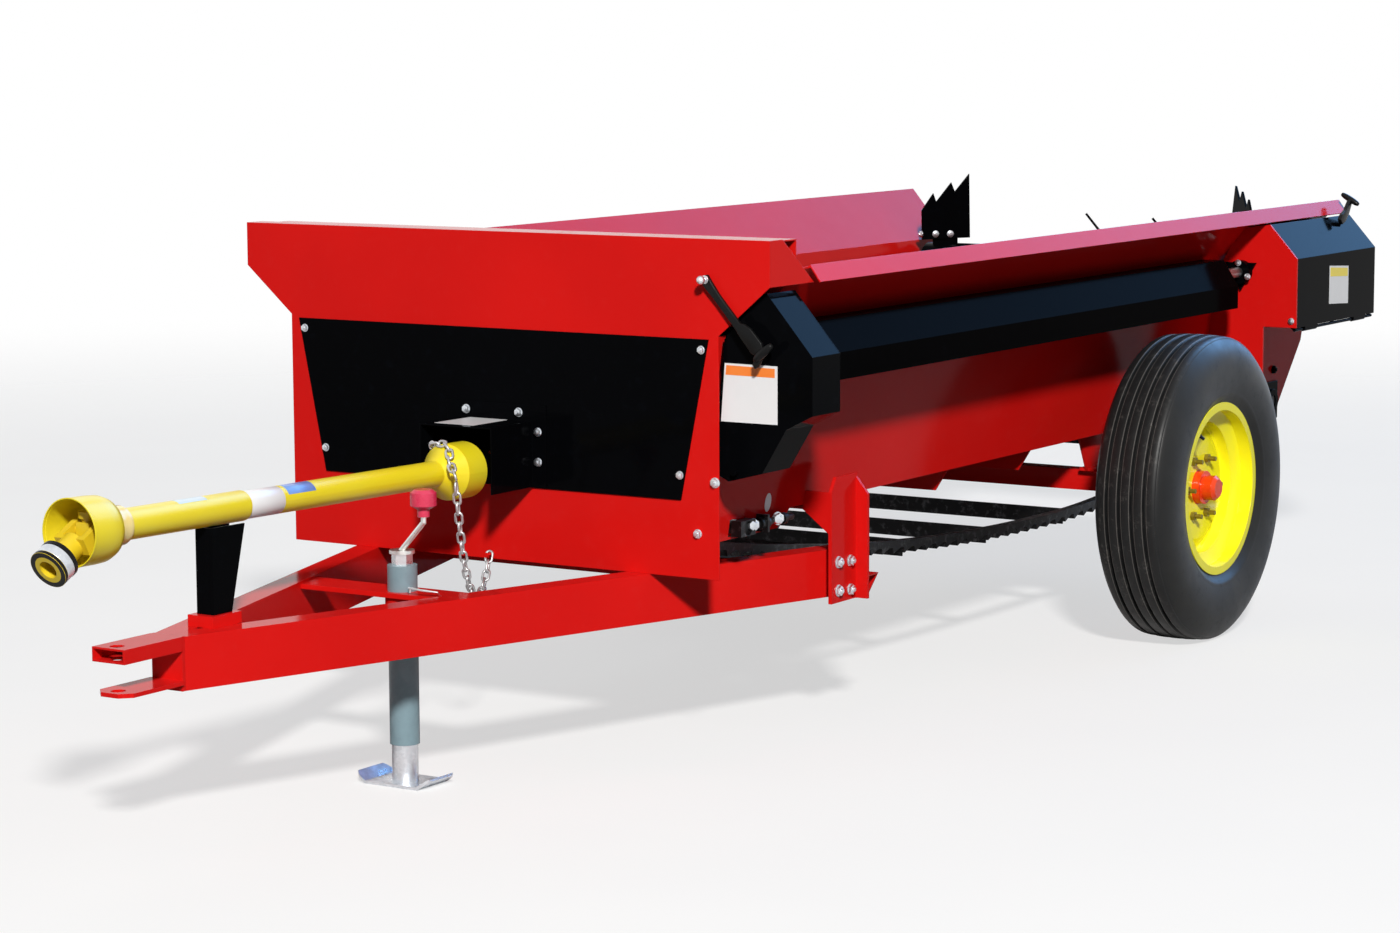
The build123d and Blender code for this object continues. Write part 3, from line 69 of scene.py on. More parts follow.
# ---- finishes ------------------------------------------------------------
class Number:
    """A value that varies over a surface; arithmetic on it adds Math nodes."""

    def __init__(self, tree, socket):
        self.tree, self.socket = tree, socket

    def maths(self, operation, *values):
        return self.tree.node("Math", {"operation": operation}, dict(enumerate((self, *values))))

    def __add__(self, other):
        return self.maths("ADD", other)

    def __mul__(self, other):
        return self.maths("MULTIPLY", other)

    def __sub__(self, other):
        return self.maths("SUBTRACT", other)

    def __rsub__(self, other):
        return self.tree.node("Math", {"operation": "SUBTRACT"}, {0: other, 1: self})

    def __pow__(self, other):
        return self.maths("POWER", other)

    __radd__ = __add__
    __rmul__ = __mul__

    def between(self, low, high):
        """0 below low, 1 above high, a soft step in between."""
        return self.tree.node("MapRange", {"interpolation_type": "SMOOTHSTEP"},
                              {"Value": self, "From Min": low, "From Max": high})


class NodeTree:
    """The nodes of a material or of the world."""

    def __init__(self, owner):
        owner.use_nodes = True
        self.nodes, self.links = owner.node_tree.nodes, owner.node_tree.links

    def feed(self, socket, value):
        """Link a socket to a Number, or give it a constant."""
        if isinstance(value, Number):
            self.links.new(value.socket, socket)
        else:
            socket.default_value = value

    def node(self, kind, settings=None, inputs=None, output=0):
        """Add a node of a kind with its settings and the values or links of its sockets."""
        made = self.nodes.new("ShaderNode" + kind)
        for word, value in (settings or {}).items():
            setattr(made, word, value)
        for word, value in (inputs or {}).items():
            self.feed(made.inputs[word], value)
        return Number(self, made.outputs[output])


class Finish(NodeTree):
    """A material built from one principled surface."""

    def __init__(self, name, **surface):
        self.material = bpy.data.materials.new(name)
        super().__init__(self.material)
        self.surface = self.nodes["Principled BSDF"]
        self.place = self.node("TexCoord", output="Object")
        self.set(**surface)

    def set(self, **surface):
        """Feed the surface's sockets, each named with _ for a space."""
        for word, value in surface.items():
            self.feed(self.surface.inputs[word.replace("_", " ")], value)

    def noise(self, scale, detail=3.0, rough=0.5, stretch=(1, 1, 1)):
        place = self.place
        if stretch != (1, 1, 1):
            place = self.node("Mapping", {}, {"Vector": place, "Scale": stretch})
        sockets = {"Vector": place, "Scale": scale, "Detail": detail, "Roughness": rough}
        return self.node("TexNoise", {}, sockets)

    def mix(self, share, first, second):
        """A colour between two; 6, 7 and output 2 are the Mix node's colour sockets."""
        return self.node("Mix", {"data_type": "RGBA"}, {0: share, 6: first, 7: second}, output=2)

    def facing_up(self):
        """The upward part of the surface's normal."""
        normal = self.node("NewGeometry", output="Normal")
        return self.node("SeparateXYZ", {}, {0: normal}, output="Z")

    def axis(self, axis):
        """The place along one axis of the machine, in metres."""
        return self.node("SeparateXYZ", {}, {0: self.place}, output=axis)

    def wheel_radius(self):
        """Distance from the wheels' centre line, in metres."""
        across, height = self.axis("X") - AXLE.x, self.axis("Z") - AXLE.z
        return (across * across + height * height) ** 0.5

    def bump(self, height, depth, strength, edge=0.0):
        """Raise the surface by a depth in metres; edge is the radius that its sharp edges are shaded with."""
        sockets = {"Height": height, "Distance": depth, "Strength": strength}
        if edge:
            sockets["Normal"] = self.node("Bevel", {"samples": 4}, {"Radius": edge})
        self.set(Normal=self.node("Bump", {}, sockets))


def rgb(red, green, blue):
    return (red, green, blue, 1.0)


def enamel(name, colour, deep, dust, gloss, dusty=0.08, shine=0.28):
    """Sprayed gloss paint: faint tone changes, orange peel, thin dust on what faces up."""
    paint = Finish(name, IOR=1.5, Specular_IOR_Level=shine)
    tone = paint.noise(2.2, 4).between(0.3, 0.75)
    film = paint.noise(38, 5, 0.62).between(0.52, 0.78)
    upward = paint.facing_up().between(0.2, 0.95) * paint.noise(9, 5, 0.6).between(0.32, 0.72)
    settled = upward * dusty + film * 0.03
    paint.set(Base_Color=paint.mix(settled, paint.mix(tone * 0.6, colour, deep), dust),
              Roughness=gloss + 0.10 * film + 0.35 * settled)
    paint.bump(paint.noise(420, 2) * 0.6 + paint.noise(60, 2) * 0.4, 0.00008, 0.5, 0.0015)
    return paint.material


def rubber(name, colour, worn, rough, shine, wear_and_highlight=None, pale=None):
    """Moulded rubber: cloudy bloom, fine grain, scuffs that dull it; the function given with pale is its share of
    pale, which on the tyre is rubbed wear and a painted highlight.
    """
    skin = Finish(name, IOR=1.45, Specular_IOR_Level=shine)
    patch = skin.noise(7, 6, 0.6).between(0.35, 0.75)
    scuff = skin.noise(46, 6, 0.68).between(0.55, 0.72)
    tone = skin.mix(patch * 0.7 + scuff * 0.3, colour, worn)
    if wear_and_highlight:
        tone = skin.mix(wear_and_highlight(skin), tone, pale)
    skin.set(Base_Color=tone, Roughness=rough - 0.14 * patch + 0.12 * scuff)
    skin.bump(skin.noise(520, 3) * 0.6 + skin.noise(70, 4) * 0.4, 0.0002, 0.6)
    return skin.material


def tread_wear_and_edge_highlight(skin):
    """Share of pale on a tyre: patches of rubbed rubber over the tread, and a painted highlight, a thin pale line
    along each rib's edge.
    """
    tread = skin.wheel_radius().between(0.3590, 0.3605)
    patches = skin.noise(26, 6, 0.72).between(0.50, 0.68) * skin.noise(160, 4, 0.6).between(0.40, 0.62)
    half_pitch = GROOVE_PITCH / 2000
    from_groove = (skin.axis("Y").maths("ABSOLUTE") - AXLE.y - half_pitch).maths("PINGPONG", half_pitch)
    # painted highlight: a pale line along each rib's edge stands in for the light that the edges catch
    line = from_groove.between(0.0047, 0.0054) * (1 - from_groove.between(0.0060, 0.0068))
    return tread * (patches * 0.26 + line * (0.62 + 0.4 * patches))


def zinc(name, light, dark, rough, spangle=160):
    """Plated, galvanised or bright steel: cloudy, with a spangle whose scale is given."""
    plate = Finish(name, Metallic=1.0)
    grain = plate.node("TexVoronoi", {}, {"Vector": plate.place, "Scale": spangle}, output="Color")
    grain = plate.node("SeparateColor", {}, {0: grain})
    cloud = plate.noise(24, 5, 0.6).between(0.3, 0.75)
    plate.set(Base_Color=plate.mix(grain * 0.35 + cloud * 0.45, light, dark), Roughness=rough + 0.16 * cloud)
    plate.bump(plate.noise(300, 3), 0.0001, 0.4, 0.0006)
    return plate.material


def plastic(name, colour, pale, rough, edge=0.001):
    """Moulded or printed plastic: bleached in patches, finely scuffed."""
    shell = Finish(name, IOR=1.46)
    bleach = shell.noise(5, 5, 0.6).between(0.35, 0.72)
    scuff = shell.noise(60, 4, 0.65, (1, 1, 0.15)).between(0.60, 0.80)
    shell.set(Base_Color=shell.mix(bleach * 0.5 + scuff * 0.2, colour, pale), Roughness=rough + 0.15 * scuff)
    shell.bump(shell.noise(700, 2), 0.00006, 0.6, edge)
    return shell.material


def oiled_steel(name, colour, bright):
    """Dark oiled steel with bright worn spots."""
    steel = Finish(name, Metallic=0.75, IOR=1.5)
    worn = steel.noise(55, 5, 0.65).between(0.50, 0.72)
    steel.set(Base_Color=steel.mix(worn, colour, bright), Roughness=0.42 - 0.12 * worn)
    steel.bump(steel.noise(240, 4), 0.0003, 0.6, 0.0008)
    return steel.material


def two_part(name, share_of, first, second, rough, metal=(0.0, 1.0), shine=0.5):
    """One surface whose look changes where share_of(finish) goes from 0 to 1; first and second are a light
    and a dark tone each, rough and metal a value for each."""
    both = Finish(name, IOR=1.5, Specular_IOR_Level=shine)
    share = share_of(both)
    cloud = both.noise(26, 5, 0.6).between(0.35, 0.72)
    tones = [both.mix(cloud * 0.5, light, dark) for light, dark in (first, second)]
    both.set(Base_Color=both.mix(share, *tones), Metallic=share * (metal[1] - metal[0]) + metal[0],
             Roughness=share * (rough[1] - rough[0]) + rough[0] + 0.12 * cloud)
    both.bump(both.noise(260, 3), 0.0001, 0.4, 0.0008)
    return both.material


RED = enamel("red enamel", rgb(0.68, 0.0090, 0.0074), rgb(0.57, 0.0066, 0.0060), rgb(0.62, 0.12, 0.12),
             gloss=0.12, dusty=0.06, shine=0.036)
BLACK = enamel("black enamel", rgb(0.0016, 0.0018, 0.0024), rgb(0.0012, 0.0013, 0.0016),
               rgb(0.02, 0.03, 0.05), gloss=0.07, dusty=0.02, shine=0.011)
# painted shade: a shaded copy of the black enamel for the shaft shield, with almost no shine and a little less
# blue, so that it shows no sky reflection, as if it lay in the shade of the flare above it
SHADED_BLACK = enamel("painted shade black enamel", rgb(0.0018, 0.0017, 0.0020), rgb(0.0013, 0.0012, 0.0014),
                      rgb(0.02, 0.02, 0.03), gloss=0.10, dusty=0.01, shine=0.0015)
WHEEL_YELLOW = enamel("wheel yellow enamel", rgb(0.99, 0.93, 0.016), rgb(0.95, 0.85, 0.012),
                      rgb(0.9, 0.82, 0.3), gloss=0.18, shine=0.30)
YOKE_YELLOW = enamel("yoke yellow enamel", rgb(0.80, 0.60, 0.020), rgb(0.62, 0.44, 0.018),
                     rgb(0.6, 0.5, 0.25), gloss=0.28)
SHIELD_YELLOW = plastic("driveline shield plastic", rgb(0.80, 0.66, 0.012), rgb(0.82, 0.71, 0.045), 0.34)
RING_AMBER = plastic("clamp ring plastic", rgb(0.80, 0.60, 0.16), rgb(0.90, 0.82, 0.50), 0.12)
# the tyre's pale share: rubbed patches on the tread and a painted highlight along the ribs' edges
TYRE = rubber("tyre rubber", rgb(0.0060, 0.0063, 0.0066), rgb(0.0140, 0.0144, 0.0148), 0.50, 0.34,
              tread_wear_and_edge_highlight, rgb(0.16, 0.15, 0.14))
STRAP = rubber("latch rubber", rgb(0.0040, 0.0042, 0.0045), rgb(0.009, 0.0095, 0.0095), 0.34, 0.16)
ZINC = zinc("zinc plate", rgb(0.80, 0.83, 0.87), rgb(0.50, 0.53, 0.57), 0.26)
GALVANISED = zinc("galvanised steel", rgb(0.62, 0.63, 0.64), rgb(0.36, 0.37, 0.39), 0.42, 90)
CHAIN_STEEL = oiled_steel("oiled chain steel", rgb(0.010, 0.010, 0.011), rgb(0.07, 0.07, 0.075))
SHAFT_STEEL = zinc("bright shaft steel", rgb(0.50, 0.50, 0.50), rgb(0.28, 0.28, 0.28), 0.30)
LABEL = plastic("blank label", rgb(0.80, 0.81, 0.83), rgb(0.70, 0.71, 0.73), 0.30, 0.0)
LABEL_ORANGE = plastic("label orange", rgb(0.90, 0.20, 0.02), rgb(0.85, 0.30, 0.06), 0.30, 0.0)
LABEL_YELLOW = plastic("label yellow", rgb(0.90, 0.72, 0.02), rgb(0.85, 0.70, 0.10), 0.30, 0.0)
LABEL_BLUE = plastic("label blue", rgb(0.10, 0.24, 0.66), rgb(0.30, 0.46, 0.80), 0.28, 0.0)
LABEL_PALE = plastic("label pale blue", rgb(0.52, 0.66, 0.76), rgb(0.70, 0.78, 0.82), 0.28, 0.0)

NUT_HEIGHT, KNOB_HEIGHT = 0.022, 0.054  # metres down from the top of the jack's tube and of its crank
nut_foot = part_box("jack_tube")[1].z - NUT_HEIGHT
knob_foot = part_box("jack_crank")[1].z - KNOB_HEIGHT
HUB_RED = two_part("hub paint and wheel nuts", lambda hub: hub.wheel_radius().between(0.060, 0.062),
                   (rgb(0.86, 0.060, 0.006), rgb(0.70, 0.040, 0.006)),
                   (rgb(0.26, 0.20, 0.02), rgb(0.14, 0.10, 0.02)), (0.16, 0.34), (0.0, 0.4), 0.4)
JACK_TOP = two_part("jack tube and nut", lambda tube: tube.axis("Z").between(nut_foot, nut_foot + 0.0005),
                    (rgb(0.20, 0.30, 0.345), rgb(0.145, 0.215, 0.25)),
                    (rgb(0.78, 0.80, 0.82), rgb(0.55, 0.57, 0.60)), (0.36, 0.26))
CRANK = two_part("crank bar and knob", lambda bar: bar.axis("Z").between(knob_foot, knob_foot + 0.0005),
                 (rgb(0.80, 0.80, 0.78), rgb(0.58, 0.58, 0.58)),
                 (rgb(0.66, 0.035, 0.10), rgb(0.52, 0.02, 0.06)), (0.26, 0.20), (1.0, 0.0))

NODE_FINISHES = {
    RED: ("side_wall_left", "side_wall_right", "front_wall", "inner_front_wall", "cross_members",
          "axle_brackets", "drawbar_beam_left", "drawbar_beam_right", "hitch_clevis", "frame_posts",
          "jack_bracket", "axle", "rear_bulkhead"),
    BLACK: ("front_cover", "pto_hood", "floor", "front_guard", "rear_guard", "guard_back", "guard_pan",
            "driveline_stand", "beater_drum", "beater_paddles", "rear_gearbox", "pto_gearbox",
            "flange_bearings"),
    # the shaft shield takes the shaded copy of black, which is painted shade
    SHADED_BLACK: ("shaft_shield",),
    CHAIN_STEEL: ("apron_chains", "apron_slats", "apron_front_shaft", "apron_rear_shaft", "drive_chains",
                  "take_ups"),
    SHAFT_STEEL: ("side_shaft",),
    ZINC: ("jack_leg",),
    GALVANISED: ("restraint_chain",),
    WHEEL_YELLOW: ("rim_left", "rim_right"),
    HUB_RED: ("hub_left", "hub_right"),
    TYRE: ("tyre_left", "tyre_right"),
    JACK_TOP: ("jack_tube",),
    CRANK: ("jack_crank",),
    SHIELD_YELLOW: ("driveline_rear_shield", "driveline_front_shield"),
    RING_AMBER: ("driveline_clamp_ring",),
    YOKE_YELLOW: ("driveline_rear_shaft", "driveline_front_shaft", "tractor_yoke"),
    STRAP: ("front_latch", "rear_latch"),
}
for finish, names in NODE_FINISHES.items():
    for name in names:
        node = frame["nodes"][name]
        node.data.materials.clear()
        node.data.materials.append(finish)


# ---- making pieces -------------------------------------------------------
def piece(name, mesh, body, finish, smooth=32.0, replaces=()):
    """Turn a bmesh into an object that moves with a body of the machine."""
    data = bpy.data.meshes.new(name)
    mesh.to_mesh(data)
    mesh.free()
    data.materials.append(finish)
    for face in data.polygons:
        face.use_smooth = True
    data.set_sharp_from_angle(angle=radians(smooth))
    thing = bpy.data.objects.new(name, data)
    bpy.context.collection.objects.link(thing)
    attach(thing, body)
    if replaces:
        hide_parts(*replaces)
    return thing


def turned(direction):
    """Rotation that takes +Z to a direction."""
    return Vector(direction).to_track_quat("Z", "Y").to_matrix().to_4x4()


def edges_of(verts):
    """The edges that meet some corners, each once and in a fixed order."""
    return list(dict.fromkeys(edge for vert in verts for edge in vert.link_edges))


def round_edges(mesh, edges, width, segments):
    """Round edges off; the width in millimetres."""
    return bmesh.ops.bevel(mesh, geom=edges, offset=width / 1000, offset_type="OFFSET", segments=segments,
                           profile=0.5, affect="EDGES", material=-1)


def add_round(mesh, place, direction, radius, length, sides=16, top=None, bevel=0.0):
    """Closed cylinder or cone that stands on a place and points along a direction, its far rim rounded;
    radii, length and bevel in millimetres."""
    made = bmesh.ops.create_cone(mesh, cap_ends=True, segments=sides, radius1=radius / 1000,
                                 radius2=(radius if top is None else top) / 1000, depth=length / 1000)
    verts = made["verts"]
    bmesh.ops.translate(mesh, verts=verts, vec=(0, 0, length / 2000))
    if bevel:
        far_rim = [edge for edge in edges_of(verts) if all(vert.co.z > length / 2000 for vert in edge.verts)]
        grown = round_edges(mesh, far_rim, bevel, 2)
        verts = list(dict.fromkeys([vert for vert in verts if vert.is_valid] + grown["verts"]))
    bmesh.ops.transform(mesh, verts=verts, matrix=Matrix.Translation(place) @ turned(direction))


# a bolt's washer, hex head and thread end: radii and heights as shares of the thread's diameter
WASHER_RADIUS, WASHER_HEIGHT = 1.9 / 1.8, 0.18
HEAD_RADIUS, HEAD_HEIGHT, HEAD_BEVEL = 0.90, 0.62, 0.12
END_RADIUS, END_TIP, END_HEIGHT = 0.46, 0.38, 0.30


def add_bolts(mesh, rows):
    """Hex heads on washers; each row is a place, the way the head points and the thread's diameter in mm."""
    for place, direction, size in rows:
        out = Vector(direction).normalized()
        on_washer = place + out * size * WASHER_HEIGHT / 1000
        on_head = on_washer + out * size * HEAD_HEIGHT / 1000
        add_round(mesh, place, out, size * WASHER_RADIUS, size * WASHER_HEIGHT, 18)
        add_round(mesh, on_washer, out, size * HEAD_RADIUS, size * HEAD_HEIGHT, 6, bevel=size * HEAD_BEVEL)
        add_round(mesh, on_head, out, size * END_RADIUS, size * END_HEIGHT, 12, top=size * END_TIP)


def add_plate(mesh, corners, thick):
    """Thin plate from its corners, grown along their normal; places in metres, thickness in mm. Returns its
    corners on both faces."""
    verts = [mesh.verts.new(corner) for corner in corners]
    face = mesh.faces.new(verts)
    face.normal_update()
    growth = face.normal * thick / 1000
    grown = bmesh.ops.extrude_face_region(mesh, geom=[face])
    moved = [item for item in grown["geom"] if isinstance(item, bmesh.types.BMVert)]
    bmesh.ops.translate(mesh, verts=moved, vec=growth)
    return verts + moved


def touch(node, place, way):
    """Where a line from a place meets a node, and the way its surface faces there."""
    hit, spot, normal, _ = frame["nodes"][node].ray_cast(place, Vector(way).normalized())
    assert hit, f"no {node} in the way from {place}"
    return spot, normal


def seat_bolts(name, body, finish, rows):
    """Bolts on a node's surface; each row is the node, a place in front of it, the way out and the thread."""
    mesh = bmesh.new()
    for node, place, out, size in rows:
        spot, _ = touch(node, at(*place), -Vector(out))
        add_bolts(mesh, [(spot, out, size)])
    return piece(name, mesh, body, finish)


def add_spun(mesh, outline, centre, axis, sides=96, start=0.0, sweep=360.0):
    """Solid turned round an axis from a closed outline of (radius, distance along the axis) in mm. Start and
    sweep are in degrees."""
    axis = Vector(axis).normalized()
    across = Vector((0, 1, 0)) if abs(axis.y) < 0.5 else Vector((0, 0, 1))
    across = (across - axis * across.dot(axis)).normalized()
    across.rotate(Matrix.Rotation(radians(start), 3, axis))
    verts = [mesh.verts.new(centre + across * (r / 1000) + axis * (h / 1000)) for r, h in outline]
    edges = [mesh.edges.new(pair) for pair in zip(verts, verts[1:] + verts[:1])]
    bmesh.ops.spin(mesh, geom=verts + edges, cent=centre, axis=axis, angle=radians(sweep), steps=sides,
                   use_merge=sweep == 360.0)
    if sweep != 360.0:
        bmesh.ops.holes_fill(mesh, edges=mesh.edges)
    bmesh.ops.recalc_face_normals(mesh, faces=mesh.faces)


def add_wire(mesh, points, radius, sides=10, closed=False):
    """Round wire through points; metres, the radius in millimetres."""
    rings, count = [], len(points)
    for index, point in enumerate(points):
        before = points[index - 1] if index or closed else point
        after = points[(index + 1) % count] if index + 1 < count or closed else point
        way = after - before
        made = bmesh.ops.create_circle(mesh, segments=sides, radius=radius / 1000)
        bmesh.ops.transform(mesh, verts=made["verts"], matrix=Matrix.Translation(point) @ turned(way))
        rings.append(edges_of(made["verts"]))
    for ring, following in zip(rings, rings[1:] + rings[:1] if closed else rings[1:]):
        bmesh.ops.bridge_loops(mesh, edges=ring + following)
    if not closed:
        for ring in (rings[0], rings[-1]):
            bmesh.ops.edgeloop_fill(mesh, edges=ring)
    bmesh.ops.recalc_face_normals(mesh, faces=mesh.faces)


def arc(centre, first, second, radius, start, end, steps):
    """Places on an arc from one angle to another, between two directions at right angles; radius in mm."""
    angles = [radians(start + (end - start) * step / steps) for step in range(steps + 1)]
    return [centre + (Vector(first) * cos(a) + Vector(second) * sin(a)) * radius / 1000 for a in angles]


def label(name, body, finish, node, corners, out, thick=0.4):
    """Blank label on a node; its corners are places in front of the node in mm, in order round the label."""
    out = Vector(out)
    spots = [touch(node, at(*corner), -out)[0] + out * 0.0001 for corner in corners]
    if (spots[1] - spots[0]).cross(spots[2] - spots[1]).dot(out) < 0:
        spots.reverse()
    mesh = bmesh.new()
    add_plate(mesh, spots, thick)
    return piece(name, mesh, body, finish)


# ---- tyres ---------------------------------------------------------------
GROOVES = [GROOVE_PITCH * (count - 1.5) for count in range(4)]  # their middles across the tyre
# half of a groove's cut, from its middle outwards: the way out and the depth there
GROOVE_SIDE = ((2.3, GROOVE_DEPTH), (4.0, 2.5), (5.4, 0.5))
# the side of the tyre from its bead to the tread's edge: radius and half width
SIDEWALL = [(193, 76), (206, 76.6), (212, 79), (219, 85), (226, 89.5), (229.5, 91.6), (233.5, 92.2),
            (237, 93.2), (250, 96.6), (266, 99.0), (281, 100), (297, 99.6), (312, 97.6), (326, 93.8),
            (338, 88.8), (347, 83.6), (353.6, 78.6), (357.2, 75.4), (358.0, 73.8), (360.6, 72.6),
            (362.6, 70.0)]
VALVE_ANGLE, VALVE_Y = radians(53.5), 752


def crown(y):
    """Radius of the tread at a distance from the tyre's middle."""
    return TREAD_RADIUS - 4.2 * (abs(y) / 70) ** 2.6


tread = []
for middle in GROOVES:
    tread += [(crown(middle - out) - deep, middle - out) for out, deep in GROOVE_SIDE[::-1]]
    tread += [(crown(middle + out) - deep, middle + out) for out, deep in GROOVE_SIDE]
    if middle != GROOVES[-1]:
        rib = middle + GROOVE_PITCH / 2
        tread += [(crown(y), y) for y in (rib - 8, rib, rib + 8)]
shoulder = [(crown(y), y) for y in (57, 62, 67)]
tyre_outline = [(r, -y) for r, y in SIDEWALL + shoulder[::-1]] + tread + shoulder + SIDEWALL[::-1]
for side, out in (("left", 1), ("right", -1)):
    mesh = bmesh.new()
    add_spun(mesh, tyre_outline, sum(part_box("tyre_" + side), Vector()) / 2, LEFT, 128)
    piece("ribbed_tyre_" + side, mesh, "wheel_" + side, TYRE, 26, ("tyre_" + side,))
    # the valve leaves the rim's well and leans out of the dish
    lean = Vector((cos(VALVE_ANGLE), 0, sin(VALVE_ANGLE)))
    root, _ = touch("rim_" + side, at(0, out * VALVE_Y, AXLE.z * 1000), lean)
    bend = root - lean * 0.009 + Vector((0, out * 0.003, 0))
    tip = root - lean * 0.020 + Vector((0, out * 0.016, 0))
    mesh = bmesh.new()
    add_wire(mesh, [root + lean * 0.002, bend, tip], 5.2, 14)
    add_round(mesh, tip, tip - root, 4.0, 11, 14, top=3.6, bevel=0.6)
    piece("valve_" + side, mesh, "wheel_" + side, STRAP)


# ---- fasteners -----------------------------------------------------------
# places in front of each seat and, last in a row, the thread's diameter
COVER_BOLTS = ((497, 845), (446, 593))
HOOD_BOLTS = ((-74, 697), (58, 697), (105, 659), (105, 597), (-105, 659), (-105, 597))
PANEL_BOLTS = ((486, 478, 9), (-486, 478, 9), (527, 583, 10))
POST_BOLTS = ((1434, 366), (1384, 363), (1434, 306), (1384, 302))
BEARING_BOLTS = ((596, 872), (572, 838), (622, 838))
REAR_SHAFT_BOLTS = ((-982, 553), (-1000, 480))
TAKE_UPS = ((1690, 473), (1592, 474))

seat_bolts("cover_bolts", "chassis", ZINC,
           [("front_cover", (1950, side * y, z), FORWARD, 8) for y, z in COVER_BOLTS for side in (1, -1)])
seat_bolts("hood_bolts", "chassis", ZINC, [("pto_hood", (1900, y, z), FORWARD, 9) for y, z in HOOD_BOLTS])
seat_bolts("panel_bolts", "chassis", ZINC,
           [("front_wall", (1950, y, z), FORWARD, size) for y, z, size in PANEL_BOLTS])
seat_bolts("post_bolts", "chassis", ZINC,
           [("frame_posts", (x, side * 700, z), out, 12)
            for side, out in ((1, LEFT), (-1, RIGHT)) for x, z in POST_BOLTS])
seat_bolts("shaft_bearing_bolts", "chassis", ZINC,
           [("flange_bearings", (-470, y, z), FORWARD, 8) for y, z in BEARING_BOLTS])
seat_bolts("bulkhead_bolt", "chassis", ZINC, [("rear_bulkhead", (-500, 733, 728), FORWARD, 8)])
seat_bolts("rear_shaft_bolts", "chassis", BLACK,
           [(wall, (x, side * 640, z), out, 11)
            for wall, side, out in (("side_wall_left", 1, LEFT), ("side_wall_right", -1, RIGHT))
            for x, z in REAR_SHAFT_BOLTS])

mesh = bmesh.new()
for side in (1, -1):
    for x, z in TAKE_UPS:
        spot, _ = touch("take_ups", at(x, side * 700, z), (0, -side, 0))
        add_bolts(mesh, [(spot - Vector((0, side * 0.004, 0)), (0.25, side, 0.1), 13)])
        add_round(mesh, spot + Vector((0.012, side * -0.002, 0)), (0.3, side, 0.1), 10, 10, 6, bevel=1.5)
piece("take_up_nuts", mesh, "chassis", ZINC)

# bolts through the paddles' feet, wherever a foot faces out at this radius from the beater's axis
BEATER_X, BEATER_Z = -880, 812
FOOT_BOLT_RADIUS, FOOT_BOLT_GAP = 82, 30
blades = frame["nodes"]["beater_paddles"]
low, high = millimetres("beater_paddles")
mesh = bmesh.new()
seats = []
for y in range(round(low[1]), round(high[1]), FOOT_BOLT_GAP):
    for turn in range(0, 360, 60):
        turned_by = Matrix.Rotation(radians(turn), 3, "Y")
        foot = at(BEATER_X, y, BEATER_Z) + turned_by @ Vector(UP) * FOOT_BOLT_RADIUS / 1000
        for across in ((1, 1, 0), (1, -1, 0)):
            out = turned_by @ Vector(across).normalized()
            hit, spot, normal, _ = blades.ray_cast(foot + out * 0.1, -out, distance=0.11)
            taken = any((spot - seat).length < FOOT_BOLT_GAP / 1000 for seat in seats)
            if hit and normal.dot(out) > 0.98 and not taken:
                seats.append(spot)
                add_bolts(mesh, [(spot, out, 9)])
piece("paddle_bolts", mesh, "beater", ZINC)


# ---- labels, all blank ---------------------------------------------------
label("front_guard_label", "front_guard", LABEL, "front_guard",
      [(1900, y, z) for y, z in ((531, 704), (661, 704), (661, 819), (540, 820))], FORWARD)
label("front_guard_label_band", "front_guard", LABEL_ORANGE, "front_guard",
      [(1900, y, z) for y, z in ((542, 797), (655, 796), (655, 814), (544, 816))], FORWARD, 0.7)
label("rear_guard_label", "rear_guard", LABEL, "rear_guard",
      [(x, 800, z) for x, z in ((-734, 757), (-862, 750), (-862, 847), (-734, 855))], LEFT)
label("rear_guard_label_band", "rear_guard", LABEL_YELLOW, "rear_guard",
      [(x, 800, z) for x, z in ((-740, 827), (-856, 821), (-856, 842), (-740, 850))], LEFT, 0.7)
label("hood_label", "chassis", LABEL, "pto_hood",
      [(x, y, 760) for x, y in ((2004, -67), (2004, 30), (1888, 32), (1888, -62))], UP)

OVAL_HEIGHT, OVAL_THICK, OVAL_SLIM = 40, 0.8, 0.62  # the last is its width as a share of its height
spot, normal = touch("side_wall_left", at(1607, 700, 508), RIGHT)
mesh = bmesh.new()
oval = bmesh.ops.create_cone(mesh, cap_ends=True, segments=40, radius1=OVAL_HEIGHT / 2000,
                             radius2=OVAL_HEIGHT / 2000 - 0.0004, depth=OVAL_THICK / 1000)
slim = Matrix.Diagonal((OVAL_SLIM, 1.0, 1.0, 1.0))
bmesh.ops.transform(mesh, verts=oval["verts"], matrix=Matrix.Translation(spot) @ turned(normal) @ slim)
piece("oval_label", mesh, "chassis", LABEL)


# ---- driveline -----------------------------------------------------------
REAR_JOINT = Vector(joints["driveline_lift"]["pos_m"])
SHAFT_WAY = Vector(joints["driveline_telescope"]["axis"]).normalized()
FRONT_TUBE, REAR_TUBE = 29.0, 26.5  # outside radii


def wrap(name, body, finish, tube, start, end, angle=0.0, sweep=360.0, thick=0.12):
    """Label round a shield tube, from start to end in mm from the rear joint; the angle is taken from the
    left side upwards."""
    mesh = bmesh.new()
    outline = [(tube, start), (tube + thick, start + 0.3), (tube + thick, end - 0.3), (tube, end)]
    add_spun(mesh, outline, REAR_JOINT, SHAFT_WAY, max(8, round(sweep / 6)), angle, sweep)
    return piece(name, mesh, body, finish)


wrap("shield_wrap_label", "driveline_rear", LABEL, REAR_TUBE, 606, 704)
wrap("shield_blue_label", "driveline_rear", LABEL_BLUE, REAR_TUBE, 512, 594, 24, 74)
wrap("shield_pale_label", "driveline_front", LABEL_PALE, FRONT_TUBE, 818, 896, 56, 38, 0.3)

